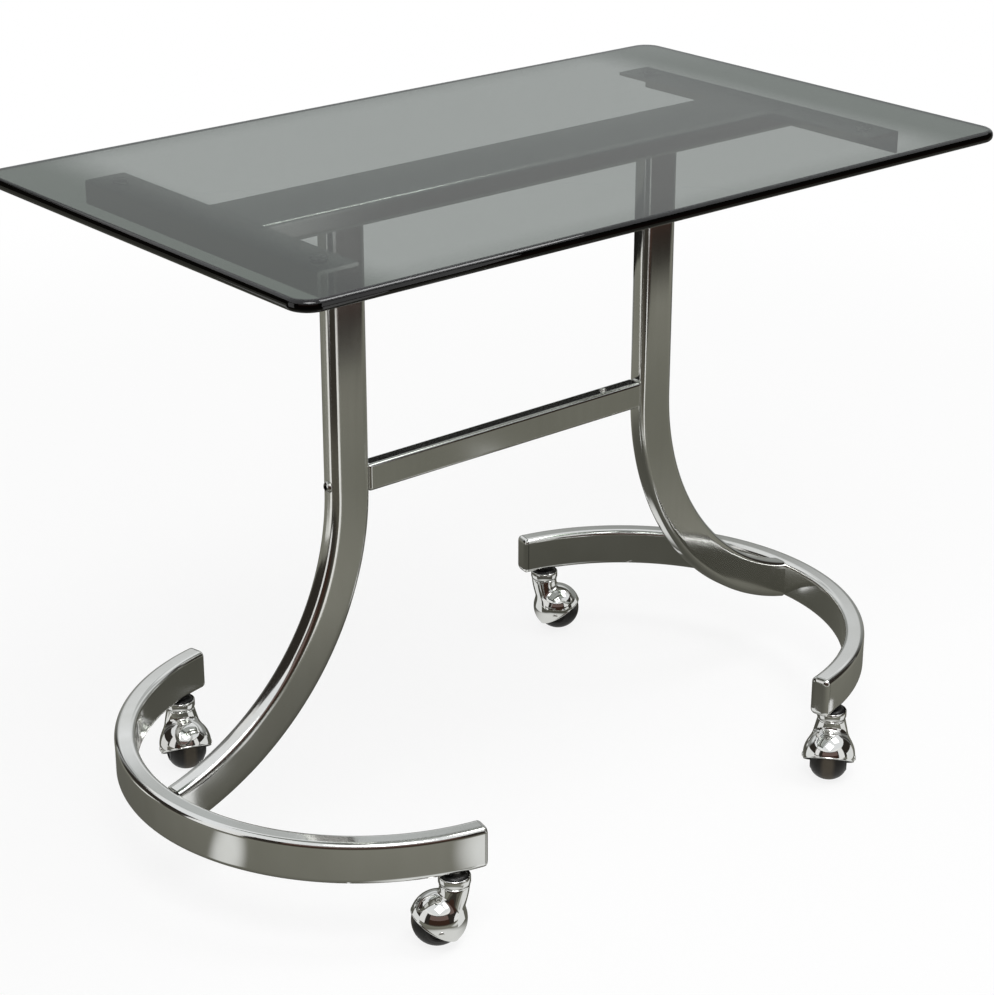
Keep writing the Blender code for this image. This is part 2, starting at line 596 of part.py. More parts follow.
def build_casters(chrome, dark_steel, steel, black_rubber):
    """Four casters, each on an empty at its swivel axis that is turned to the caster's heading."""
    meshes = {"hood": hood_mesh(), "axle": axle_mesh(), "wheel": wheel_mesh(), "cap": bearing_cap_mesh(),
              "socket": socket_mesh(), "stem": stem_mesh()}
    for side_name, side in SIDES.items():
        for end_name, end in ENDS.items():
            corner = end_name + "_" + side_name
            name = "caster_" + corner
            foot_point = caster_place(side, end)
            place(name + "_socket", meshes["socket"], steel, foot_point)
            place(name + "_stem", meshes["stem"], steel, foot_point)
            place(name + "_bearing_cap", meshes["cap"], dark_steel, foot_point)
            swivel = bpy.data.objects.new(name + "_swivel", None)
            swivel.location = foot_point
            swivel.rotation_euler = (0.0, 0.0, math.radians(CASTER_HEADINGS[corner]))
            bpy.context.scene.collection.objects.link(swivel)
            axle_place = (CASTER_TRAIL + AXLE_LEAD, 0.0, AXLE_HEIGHT)
            place(name + "_hood", meshes["hood"], chrome, (CASTER_TRAIL, 0.0, BALL_HEIGHT), parent=swivel)
            place(name + "_axle", meshes["axle"], steel, axle_place, parent=swivel)
            place(name + "_wheel", meshes["wheel"], black_rubber, axle_place, parent=swivel)


def main():
    clear_scene()
    chrome = make_material("chrome", (0.78, 0.78, 0.75), 0.08, 1.0)
    steel = make_material("steel", (0.55, 0.55, 0.54), 0.30, 1.0)
    dark_steel = make_material("dark_steel", (0.03, 0.03, 0.03), 0.45, 0.6)
    glass = make_material("smoked_glass", (0.33, 0.36, 0.34), 0.02, 0.0, 1.0)
    clear_plastic = make_material("clear_plastic", (0.85, 0.86, 0.84), 0.25, 0.0, 0.6)
    black_rubber = make_material("black_rubber", (0.02, 0.02, 0.02), 0.55)
    build_top(glass, chrome, clear_plastic)
    build_legs(chrome, steel)
    build_feet(chrome)
    build_casters(chrome, dark_steel, steel, black_rubber)


main()
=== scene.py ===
"""Looks of the rolling side table: bright chromed tubes, a smoked glass top and hooded ball casters.

Metres in the part's own frame: +X along the table, -Y its front, +Z up, the floor at z = 0.
Every new piece is a surface worked out on a grid, and rides on the body of the solid that it stands for.
"""
import json
import math

import bmesh
import bpy
import numpy as np
from mathutils import Matrix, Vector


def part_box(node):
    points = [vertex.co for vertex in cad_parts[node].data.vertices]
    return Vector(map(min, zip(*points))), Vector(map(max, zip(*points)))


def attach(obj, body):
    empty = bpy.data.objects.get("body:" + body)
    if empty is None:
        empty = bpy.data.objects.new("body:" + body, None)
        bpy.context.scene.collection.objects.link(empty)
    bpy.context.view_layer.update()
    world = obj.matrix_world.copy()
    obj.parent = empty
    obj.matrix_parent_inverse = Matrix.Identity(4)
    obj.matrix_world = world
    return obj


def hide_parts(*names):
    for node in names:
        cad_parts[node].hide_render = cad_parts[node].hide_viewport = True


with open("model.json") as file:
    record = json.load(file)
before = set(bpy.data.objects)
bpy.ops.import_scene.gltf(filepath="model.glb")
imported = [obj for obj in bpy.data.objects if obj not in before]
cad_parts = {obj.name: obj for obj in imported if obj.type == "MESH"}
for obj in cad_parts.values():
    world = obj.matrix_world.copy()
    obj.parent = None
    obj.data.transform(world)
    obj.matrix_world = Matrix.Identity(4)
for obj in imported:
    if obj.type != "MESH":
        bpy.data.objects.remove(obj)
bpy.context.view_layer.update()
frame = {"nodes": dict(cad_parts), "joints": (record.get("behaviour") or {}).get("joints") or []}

JOINTS = {joint["name"]: joint for joint in frame["joints"]}
CORNERS = ("front_left", "back_left", "front_right", "back_right")
SIDES = {"left": -1.0, "right": 1.0}
ENDS = {"front": -1.0, "back": 1.0}
X_AXIS, Y_AXIS, Z_AXIS = np.eye(3)

# Extra points just beside a rounded edge, which keep the flat next to it level
SUPPORT_GAP = 0.0004

# Sizes of the forms that boxes can't tell
GLASS_CORNER_RADIUS = 0.020
GLASS_EDGE_RADIUS = 0.0042
RAIL_CORNER_RADIUS = 0.004
CROSSBAR_THICKNESS = 0.003
CROSSBAR_EDGE_RADIUS = 0.0016
ARRIS_RADIUS = 0.0005
TUBE_CORNER_RADIUS = 0.005
LEG_CORNER_RELIEF = 0.003
LEG_BEND_RADIUS = 0.253
LEG_STRAIGHT_STEPS = 12
LEG_BEND_STEPS = 72
STRETCHER_DEPTH = 0.016
STRETCHER_EDGE_RADIUS = 0.003
STRETCHER_END_RADIUS = 0.0026
FOOT_RADIUS = 0.21465
FOOT_CENTRE_X = 0.1613
FOOT_HALF_ANGLE = math.radians(78.2)
FOOT_STEPS = 161
PLUG_PLATE = 0.004
PLUG_SEAT_EASE = 0.0004
PLUG_SEAT_RISE = 0.0003
PLUG_EDGE_DEPTH = 0.0036
PLUG_EDGE_INSET = 0.0052
PLUG_FLAT_GAP = 0.0005
WELD_BITE = 0.0003
RUN_GAP = 0.0003

# Bolts and screw: lengths, and shares of the head's radius
BOLT_HEAD_HEIGHT = 0.0033
BOLT_SHANK_LENGTH = 0.004
BOLT_SHANK_SHARE = 0.55
BOLT_DOME_SWEEP = 1.15
BOLT_DOME_BULGE = 0.05
BOLT_STEPS = 48
# The bolt's recess, brim to floor: shares of the head's radius and height, and of the turn to a hexagon
BOLT_RECESS = ((0.45, 1.0, 0.6), (0.42, 0.97, 1.0), (0.41, 0.90, 1.0), (0.40, 0.30, 1.0), (0.0, 0.25, 1.0))
# The recess's innermost rings, which are painted black as painted shade
BOLT_SHADED_RINGS = 3
SCREW_SHANK_SHARE = 0.5
DOME_STEPS = 8

# Caster hood, about the ball's middle
AXLE_LEAD = 0.0012
AXLE_DROP = 0.0018
HOOD_RADIUS = 0.0243
HOOD_WALL = 0.0010
HOOD_TILT = math.radians(32.0)
HOOD_RIM_DROP = 0.0065
HOOD_BLEND = 0.0026
HOOD_EYE = np.array([-0.0075, 0.0, 0.0060])
HOOD_RAY = (0.004, 0.046)
HOOD_RAY_STEPS = 300
HOOD_SHARP_ANGLE = math.radians(50.0)
# The hood's rim bead: how far outside the rim circle and how far below it
HOOD_RIM_BEAD = ((0.0001, 0.0002), (0.0001, 0.0006), (-0.0002, 0.0009))
HOOD_INNER_RIM_FALL = 0.0007
RIVET_RADIUS = 0.0026
RIVET_HEIGHT = 0.0010
RIVET_BITE = 0.0008

# Caster neck
NECK_ROOT_TRAIL = 0.008
NECK_ROOT_HALF_WIDTH = 0.0208
NECK_RADIUS = 0.0128
NECK_GROOVE_RADIUS = 0.0122
NECK_GROOVE_HEIGHT = 0.0014
NECK_GROOVE_EASE = 0.0002
NECK_LIP_RADIUS = 0.0138
NECK_LIP_HEIGHT = 0.0035
NECK_LIP_RISE = 0.0035
NECK_LIP_WALL = 0.0010
NECK_CUP_DEPTH = 0.0026
# The bead on the neck's top: radius, and height from the top
NECK_BEAD = ((0.0120, -0.0016), (0.01275, -0.0010), (0.0131, -0.0007), (0.0131, -0.0002), (0.0128, 0.0001))
# Rounded edges of the lip: steps outwards and upwards from its foot, its brink and the brink of its cup
NECK_LIP_FOOT = ((-0.0006, 0.0), (-0.0002, 0.0003), (0.0, 0.0009))
NECK_LIP_BRINK = ((0.0, -0.0009), (-0.0003, -0.0003), (-0.0007, 0.0))
NECK_CUP_BRINK = ((0.0002, -0.0002), (0.0, -0.0007))

# Caster wheel, bearing cap and stem
WHEEL_SHOULDER_DEPTH = 0.014
WHEEL_TREAD_SHARE = 0.94
WHEEL_TREAD_STEPS = 22
# The wheel's side: how far in from the tread's end, or out from the bore, and how far in from the side
WHEEL_RIM = ((0.0008, 0.0003), (0.0014, 0.0), (0.0030, 0.0), (0.0036, 0.0008))
WHEEL_HUB = ((0.0030, 0.0008), (0.0024, 0.0), (0.0, 0.0))
AXLE_RADIUS = 0.0025
BEARING_CAP_NECK_RADIUS = 0.0072
BEARING_CAP_BRIM = 0.0014
BEARING_CAP_EASE = 0.0003
BEARING_CAP_COVE_HEIGHT = 0.0038
BEARING_CAP_COVE_STEPS = 9
STEM_RADIUS = 0.004

# Where the glass darkens towards its ends and long sides, and how much of its rounded edge is painted near
# black, as painted shade
GLASS_END_FADE = (0.27, 0.34)
GLASS_SIDE_FADE = (0.185, 0.225)
GLASS_PAINTED_DARK_EDGE = 0.9
GLASS_DENSITY = 84.0

# Camera, fitted to the photograph
CAMERA_PLACE = (-1.34517, -1.58345, 1.14945)
CAMERA_HEADING = math.radians(40.142)
CAMERA_PITCH = math.radians(22.848)
CAMERA_ROLL = math.radians(0.068)
CAMERA_FAR = 60.0
FOCAL_PIXELS = 2488.95
FRAME_WIDTH = 994
SENSOR_WIDTH = 36.0

# Lamps: place, size and power
LAMPS = {
    "key_lamp": ((-0.9, -1.3, 2.6), 1.3, 36.0),
    "fill_lamp": ((1.0, -0.8, 2.6), 1.0, 20.0),
}
LAMP_AIM = (0.0, 0.0, 0.3)
LAMP_UPWARD = (0.0, 1.0, 0.02)

# Tones that more than one sheet has, and the surround's strength as light and as seen
WHITE = (1.0, 1.0, 1.0)
ROOM_TONE = (0.030, 0.026, 0.022)
SHEET_TONE = (0.92, 0.92, 0.92)
SURROUND_LIGHT = 0.55
SURROUND_SEEN = 1.0

# Level sheets: half their side and their height
FLOOR = (30.0, 0.0)
MIRRORED_FLOOR = (3.3, 0.0006)
MIRRORED_CEILING = (3.4, 3.0)
# The floor's shadow: its strongest share, and the squared distances between which it fades
SHADOW_SHARE = 0.15
SHADOW_FADE = (0.4, 4.0)

# Upright sheets that only mirrors see: bearings in degrees, distance, heights and tone
SHEET_COLUMNS = 49
WALLS = {
    "room_wall": ((110.0, 350.0), 3.2, (0.0, 2.2), ROOM_TONE),
    "camera_wall_low": ((196.0, 268.0), 3.0, (0.0, 0.9), (0.045, 0.024, 0.017)),
    "camera_wall_high": ((196.0, 268.0), 3.0, (0.9, 1.9), (0.170, 0.120, 0.108)),
    "white_sheet_front": ((276.0, 299.0), 1.7, (0.0, 1.2), SHEET_TONE),
    "white_sheet_left": ((158.0, 182.0), 1.7, (0.0, 1.2), SHEET_TONE),
}
# The pale wall and board behind the table: bearings, distance and heights
BACK_WALL = ((-10.0, 110.0), 3.2, (0.0, 2.6))
BACK_BOARD = ((-12.0, 112.0), 1.05, (0.0, 0.78))
# Both fade with the cosine of the angle from this bearing, and the board with height too
BACK_BEARING = math.radians(50.0)
BACK_END_FADE = (0.47, 0.74)
BOARD_LOW_FADE = (0.40, 0.50)
BOARD_HIGH_FADE = (0.58, 0.68)
BOARD_TOP_FADE = (0.66, 0.77)

# Strips and sectors of the floor that the plate mirrors: middle, bearings in degrees, reach and tone
SECTOR_COLUMNS = 25
SECTOR_HEIGHT = 0.0012
STRIP_TONE = (1.0, 1.0, 0.98)
FLOOR_SECTORS = {
    "pale_strip_front": ((-0.197, -0.010), (286.0, 300.5), (0.50, 1.50), STRIP_TONE),
    "pale_strip_back": ((-0.197, 0.0), (129.5, 142.0), (0.45, 1.50), STRIP_TONE),
    "dark_sector": ((-0.197, 0.0), (142.0, 286.0), (1.0, 3.0), (0.040, 0.036, 0.030)),
    "dim_sector": ((-0.197, 0.0), (142.0, 286.0), (0.55, 1.0), (0.105, 0.098, 0.080)),
}
# Oval spots in the mirrored floor, shaded or pale: middle and reach
TABLE_SHADE = ((0.02, 0.12), (0.55, 0.45))
RIGHT_SHADE = ((0.65, -0.62), (0.45, 0.25))
PALE_SPOTS = (
    ((-0.51, -0.05), (0.055, 0.035)),
    ((-0.15, -0.36), (0.07, 0.07)),
    ((0.49, -0.62), (0.015, 0.03)),
)
SPOT_FADE = (0.05, 1.7)
# A round pale spot beside each caster: its place from the swivel, and its reach
CASTER_GLARE = (-0.030, -0.035)
CASTER_GLARE_REACH = 0.065
# Places in y where the mirrored floor ends, and where the darkness past it turns brown
FLOOR_EDGE_FADE = (-1.06, -0.97)
FLOOR_DARK_FADE = (-1.24, -1.17)
# Pale cards at both sides of each caster: bearings from its axle in degrees, distance, half width and height
CASTER_CARD_BEARINGS = {"left": 140.0, "right": 320.0}
CASTER_CARD_DISTANCE = 0.075
CASTER_CARD_HALF_WIDTH = 0.030
CASTER_CARD_HEIGHT = 0.042
# A dark card behind the stretcher, which only its top mirrors: place in y, ends in x and heights
STRETCHER_FLAG = (0.156, (-0.10, 0.37), (0.40, 0.46))


class Wire:
    """A shader socket that Python's operators work on. Each operation adds a Math node."""

    def __init__(self, nodes, socket):
        self.nodes = nodes
        self.socket = socket

    def math(self, operation, first, second):
        """A Math node with two inputs."""
        return self.nodes.node("ShaderNodeMath", {"operation": operation}, {0: first, 1: second})

    def __add__(self, other):
        return self.math("ADD", self, other)

    __radd__ = __add__

    def __sub__(self, other):
        return self.math("SUBTRACT", self, other)

    def __rsub__(self, other):
        return self.math("SUBTRACT", other, self)

    def __mul__(self, other):
        return self.math("MULTIPLY", self, other)

    __rmul__ = __mul__

    def __abs__(self):
        return self.nodes.node("ShaderNodeMath", {"operation": "ABSOLUTE"}, {0: self})


class Nodes:
    """A node tree that is built by calls."""

    def __init__(self, tree):
        self.tree = tree
        tree.nodes.clear()

    def node(self, kind, settings=None, inputs=None, output=0):
        """Add a node: settings first, then its sockets' values or links. Returns the outputs asked for."""
        made = self.tree.nodes.new(kind)
        for key, value in (settings or {}).items():
            if key == "stops":
                ramp = made.color_ramp
                for _ in range(len(value) - len(ramp.elements)):
                    ramp.elements.new(1.0)
                for element, (place, grey) in zip(ramp.elements, value):
                    element.position = place
                    element.color = (grey, grey, grey, 1.0)
            else:
                setattr(made, key, value)
        for key, value in (inputs or {}).items():
            if isinstance(value, Wire):
                self.tree.links.new(value.socket, made.inputs[key])
            else:
                made.inputs[key].default_value = value
        if isinstance(output, tuple):
            return [Wire(self, made.outputs[key]) for key in output]
        return Wire(self, made.outputs[output]) if made.outputs else made

    def place(self, stretch=(1.0, 1.0, 1.0)):
        """Object coordinates, stretched."""
        coordinates = self.node("ShaderNodeTexCoord", output="Object")
        return self.node("ShaderNodeMapping", inputs={"Vector": coordinates, "Scale": stretch})

    def axes(self):
        """The three object coordinates, each as a value."""
        return self.node("ShaderNodeSeparateXYZ", inputs={"Vector": self.place()}, output=("X", "Y", "Z"))

    def noise(self, scale, detail=2.0, stretch=(1.0, 1.0, 1.0)):
        """Cloudy noise over the piece, 0 to 1."""
        return self.node("ShaderNodeTexNoise", inputs={
            "Vector": self.place(stretch), "Scale": scale, "Detail": detail})

    def ramp(self, value, *stops):
        """A grey ramp over a value."""
        return self.node("ShaderNodeValToRGB", {"stops": stops}, {"Fac": value})

    def blend(self, share, first, second):
        """Mix two colours."""
        return self.node("ShaderNodeMix", {"data_type": "RGBA"}, {0: share, 6: first, 7: second}, output=2)

    def fade(self, value, start, end):
        """0 at the start value, 1 at the end value, level at both."""
        return self.node("ShaderNodeMapRange", {"interpolation_type": "SMOOTHSTEP"}, {
            "Value": value, "From Min": start, "From Max": end, "To Min": 0.0, "To Max": 1.0})

    def mark(self, name):
        """A number that the piece's points carry."""
        return self.node("ShaderNodeAttribute", {"attribute_name": name}, output="Fac")

    def bump(self, height, strength, distance):
        """A normal disturbed by a height."""
        return self.node("ShaderNodeBump", inputs={
            "Height": height, "Strength": strength, "Distance": distance})

    def finish(self, **shaders):
        """The material's output."""
        self.node("ShaderNodeOutputMaterial", inputs={key.title(): shader for key, shader in shaders.items()})


def colour(red, green, blue):
    """An opaque colour."""
    return (red, green, blue, 1.0)


def new_finish(name):
    """An empty material and its node tree."""
    material = bpy.data.materials.new(name)
    material.use_nodes = True
    return material, Nodes(material.node_tree)


def principled(nodes, **sockets):
    """A Principled surface, its sockets written as plain names."""
    named = {key.replace("_", " ").title().replace("Ior", "IOR"): value for key, value in sockets.items()}
    return nodes.node("ShaderNodeBsdfPrincipled", inputs=named)


def chrome_finish(name, sheen, streak=(1.0, 1.0, 1.0), shade=1.0):
    """Bright plate: cloudy smudges and faint streaks dull the mirror a little. A shade below 1 darkens both
    tones as painted shade.
    """
    material, nodes = new_finish(name)
    cloud = nodes.ramp(nodes.noise(9.0, detail=4.0), (0.38, 0.0), (0.72, 1.0))
    lines = nodes.noise(60.0, stretch=streak)
    grime = cloud * 0.6 + lines * 0.4
    clean = colour(*(shade * np.array([0.80, 0.80, 0.785])))
    dull = colour(*(shade * np.array([0.66, 0.655, 0.62])))
    ripple = nodes.noise(34.0, detail=1.0)
    nodes.finish(surface=principled(
        nodes, base_color=nodes.blend(grime, clean, dull), metallic=1.0, roughness=grime * 0.07 + sheen,
        normal=nodes.bump(ripple, strength=0.05, distance=0.0004)))
    return material


def glass_finish():
    """Grey glass that darkens with depth and towards its border, polished, with a few faint smears.

    Its rounded edge is painted near black: painted shade for the dark look of light's long path through the
    tinted glass.
    """
    material, nodes = new_finish("smoked_glass_look")
    smear = nodes.ramp(nodes.noise(7.0, detail=5.0, stretch=(1.0, 2.2, 1.0)), (0.52, 0.0), (0.80, 1.0))
    depth = nodes.node("ShaderNodeVolumeAbsorption", inputs={
        "Color": colour(0.0, 0.06, 0.02), "Density": GLASS_DENSITY})
    x, y, _ = nodes.axes()
    ends = nodes.fade(abs(x), *GLASS_END_FADE)
    sides = nodes.fade(abs(y), *GLASS_SIDE_FADE) * 0.3
    tone = nodes.blend((1.0 - ends) * (1.0 - sides), colour(0.30, 0.34, 0.30), colour(*WHITE))
    # Painted shade: the rounded edge, marked as rim, is painted near black.
    tint = nodes.blend(nodes.mark("rim"), tone, colour(0.002, 0.003, 0.002))
    nodes.finish(volume=depth, surface=principled(
        nodes, base_color=tint, roughness=smear * 0.03 + 0.004, transmission_weight=1.0, ior=1.5))
    return material


def steel_finish():
    """Plain plated steel, painted black in the bolt's hex recess: painted shade."""
    material, nodes = new_finish("plated_steel_look")
    grain = nodes.noise(220.0)
    plate = nodes.blend(grain, colour(0.72, 0.71, 0.68), colour(0.52, 0.51, 0.49))
    # Painted shade: black where the bolt's hex recess is marked.
    tint = nodes.blend(nodes.mark("hollow"), plate, colour(0.004, 0.004, 0.004))
    nodes.finish(surface=principled(nodes, base_color=tint, metallic=1.0, roughness=grain * 0.10 + 0.14))
    return material


def black_steel_finish():
    """Black plated steel, dusty in places."""
    material, nodes = new_finish("black_steel_look")
    dust = nodes.ramp(nodes.noise(120.0, detail=3.0), (0.50, 0.0), (0.80, 1.0))
    tint = nodes.blend(dust, colour(0.012, 0.012, 0.012), colour(0.055, 0.052, 0.047))
    nodes.finish(surface=principled(nodes, base_color=tint, metallic=0.4, roughness=dust * 0.2 + 0.34))
    return material


def rubber_finish():
    """Black wheel rubber, worn to a brownish band along the middle of the tread."""
    material, nodes = new_finish("wheel_rubber_look")
    scuff = nodes.noise(160.0, detail=3.0)
    band = nodes.ramp(abs(nodes.mark("across")) + scuff * 0.16, (0.30, 1.0), (0.52, 0.0))
    worn = band * 0.75 + scuff * 0.2
    tint = nodes.blend(worn, colour(0.008, 0.008, 0.008), colour(0.070, 0.058, 0.042))
    nodes.finish(surface=principled(
        nodes, base_color=tint, roughness=worn * 0.22 + 0.38, specular_ior_level=0.2,
        normal=nodes.bump(scuff, strength=0.15, distance=0.0004)))
    return material


def clear_plastic_finish():
    """Soft clear bumper plastic."""
    material, nodes = new_finish("clear_plastic_look")
    haze = nodes.noise(300.0)
    nodes.finish(surface=principled(
        nodes, base_color=colour(0.86, 0.87, 0.85), roughness=haze * 0.1 + 0.2, transmission_weight=0.7,
        ior=1.45))
    return material


def closed_skin(points, caps=False, ring=False, marks=None):
    """Rows of closed loops, joined row to row, as points, faces and the points' marks.

    Caps close the first and the last row, and ring joins them.
    """
    rows, columns = points.shape[:2]
    index = np.arange(rows * columns).reshape(rows, columns)
    present = index if ring else index[:-1]
    following = np.roll(index, -1, axis=0) if ring else index[1:]
    quads = np.stack([
        present, np.roll(present, -1, axis=1), np.roll(following, -1, axis=1), following], axis=-1)
    faces = quads.reshape(-1, 4).tolist()
    if caps:
        faces += [index[0, ::-1].tolist(), index[-1].tolist()]
    return points.reshape(-1, 3), faces, marks


def add_piece(name, skin, finish, body, slot, *stands_for, mark=None, sharp=math.radians(35.0)):
    """Make a skin a piece: merge its poles, face it outwards, smooth it, and let it ride on a body."""
    points, faces, marks = skin
    mesh = bpy.data.meshes.new(name)
    mesh.from_pydata(points.tolist(), [], faces)
    if mark:
        layer = mesh.attributes.new(mark, "FLOAT", "POINT")
        layer.data.foreach_set("value", np.ravel(marks).astype(np.float32))
    bm = bmesh.new()
    bm.from_mesh(mesh)
    bmesh.ops.remove_doubles(bm, verts=bm.verts, dist=1e-7)
    bmesh.ops.recalc_face_normals(bm, faces=bm.faces)
    bm.to_mesh(mesh)
    bm.free()
    mesh.shade_smooth()
    mesh.set_sharp_from_angle(angle=sharp)
    mesh.materials.append(finish)
    made = bpy.data.objects.new(name, mesh)
    bpy.context.scene.collection.objects.link(made)
    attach(made, body)
    if stands_for:
        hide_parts(*stands_for)


def finish_node(node, finish):
    """Give a solid that stays in view its finish."""
    solid = frame["nodes"][node]
    solid.data.materials.clear()
    solid.data.materials.append(finish)


def span(node):
    """Lowest and highest corner of a solid, as arrays."""
    low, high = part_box(node)
    return np.array(low), np.array(high)


def unit(vectors):
    """Vectors divided by their lengths."""
    return vectors / np.linalg.norm(vectors, axis=-1, keepdims=True)


def ease(share):
    """0 to 1 with level ends: 3 s^2 - 2 s^3."""
    return share * share * (3 - 2 * share)


def rounded_outline(width, height, radius, steps=8, support=SUPPORT_GAP):
    """A rounded rectangle as one ring: a quarter circle at each corner, and a point before and after it."""
    angle = np.linspace(0.0, math.pi / 2, steps + 1)
    quarter = radius * np.column_stack([np.cos(angle), np.sin(angle)])
    quarter = np.vstack([[radius, -support], quarter, [-support, radius]])
    ring = []
    for turn, (sx, sy) in enumerate(((1, 1), (-1, 1), (-1, -1), (1, -1))):
        c, s = math.cos(turn * math.pi / 2), math.sin(turn * math.pi / 2)
        middle = np.array([sx * (width / 2 - radius), sy * (height / 2 - radius)])
        ring.append(quarter @ np.array([[c, s], [-s, c]]) + middle)
    return np.concatenate(ring)


def eased_outline(corners, radii, steps=5, support=SUPPORT_GAP):
    """A square-cornered outline with each corner rounded.

    A corner's arc is middle - r cos a * the leaving way + r sin a * the arriving way, a from 0 to 90 degrees.
    """
    angle = np.linspace(0.0, math.pi / 2, steps + 1)[:, None]
    arriving = unit(corners - np.roll(corners, 1, axis=0))
    leaving = np.roll(arriving, -1, axis=0)
    ring = []
    for corner, come, go, radius in zip(corners, arriving, leaving, radii):
        bend = corner + radius * (go - come) - radius * np.cos(angle) * go + radius * np.sin(angle) * come
        ring += [bend[:1] - support * come, bend, bend[-1:] + support * go]
    return np.concatenate(ring)


def carry(outline, centres, across, upward):
    """A profile carried along a path: centre + u * across + v * upward at each station."""
    across = np.broadcast_to(across, centres.shape)
    upward = np.broadcast_to(upward, centres.shape)
    return centres[:, None] + outline[None, :, :1] * across[:, None] + outline[None, :, 1:] * upward[:, None]


def quarter_edge(radius, steps=5):
    """Inset and drop along a rounded edge: radius * (1 - cos a) and radius * (1 - sin a), a to 90 degrees."""
    angle = np.linspace(0.0, math.pi / 2, steps + 1)
    return np.column_stack([radius * (1 - np.cos(angle)), radius * (1 - np.sin(angle))])


def dome(radius, rise, seat=0.0):
    """Radius and height up a button's dome, a quarter oval: radius * cos a and seat + rise * sin a."""
    angle = np.linspace(0.0, math.pi / 2, DOME_STEPS)
    return np.column_stack([radius * np.cos(angle), seat + rise * np.sin(angle)])


def turned(profile, place, axis, side, steps=72):
    """Surface of revolution: place + height * axis + radius * (cos a * side + sin a * axis x side)."""
    angle = np.linspace(0.0, 2 * math.pi, steps, endpoint=False)
    other = np.cross(axis, side)
    around = np.cos(angle)[:, None] * side + np.sin(angle)[:, None] * other
    radius, height = np.asarray(profile, float).T
    return place + height[:, None, None] * axis + radius[:, None, None] * around[None]


def build_glass(finish):
    """A plate: one rounded outline at each level of its edge, drawn in where the edge is rounded."""
    low, high = span("glass_top")
    size = high - low
    middle = (low + high) / 2
    edge = quarter_edge(GLASS_EDGE_RADIUS)
    upper = np.column_stack([edge[:, 0], high[2] - edge[:, 1]])
    upper = np.vstack([upper, [GLASS_EDGE_RADIUS + SUPPORT_GAP, high[2]]])
    lower = np.column_stack([upper[:, 0], low[2] + high[2] - upper[:, 1]])[::-1]
    rows = []
    marks = []
    for inset, level in np.vstack([lower, upper]):
        length, width = size[:2] - 2 * inset
        outline = rounded_outline(length, width, GLASS_CORNER_RADIUS - inset, steps=14)
        rows.append(np.column_stack([outline + middle[:2], np.full(len(outline), level)]))
        # Points on the rounded edge are marked for the painted near-black shade.
        marks.append(np.full(len(outline), float(inset <= GLASS_EDGE_RADIUS * GLASS_PAINTED_DARK_EDGE)))
    plate = closed_skin(np.array(rows), caps=True, marks=marks)
    add_piece("glass_plate", plate, finish, "frame", "smoked_glass", "glass_top", mark="rim")


def build_crossbars(chrome):
    """Angle bars: an outline of six rounded corners carried along Y."""
    for side, sign in SIDES.items():
        node = "crossbar_" + side
        low, high = span(node)
        width, height = high[0] - low[0], high[2] - low[2]
        web = width - CROSSBAR_THICKNESS
        corners = np.array([[0.0, 0.0], [0.0, -CROSSBAR_THICKNESS], [web, -CROSSBAR_THICKNESS],
                            [web, -height], [width, -height], [width, 0.0]])
        outline = eased_outline(corners, [ARRIS_RADIUS] * 5 + [CROSSBAR_EDGE_RADIUS])
        inner = low[0] if sign > 0 else high[0]
        path = np.array([[inner, low[1], high[2]], [inner, high[1], high[2]]])
        rows = carry(outline, path, sign * X_AXIS, Z_AXIS)
        add_piece(f"crossbar_angle_{side}", closed_skin(rows, caps=True), chrome, "frame", "chrome", node)


def build_rail(chrome):
    """A tube outline carried along X between the crossbars.

    It steps down under the plates of the crossbars and goes on to their flanges.
    """
    low, high = span("rail")
    middle = (low + high) / 2
    width, height = high[1] - low[1], high[2] - low[2]
    plate_edge = span("crossbar_right")[0][0] - RUN_GAP
    step = CROSSBAR_THICKNESS + RUN_GAP
    full = rounded_outline(width, height, RAIL_CORNER_RADIUS)
    tongue = full.copy()
    tongue[:, 1] = np.minimum(tongue[:, 1], height / 2 - step)
    stations = ((low[0], tongue), (-plate_edge, tongue), (-plate_edge, full),
                (plate_edge, full), (plate_edge, tongue), (high[0], tongue))
    rows = [carry(outline, np.array([[x, *middle[1:]]]), Y_AXIS, Z_AXIS)[0] for x, outline in stations]
    add_piece("rail_tube", closed_skin(np.array(rows), caps=True), chrome, "frame", "chrome", "rail")


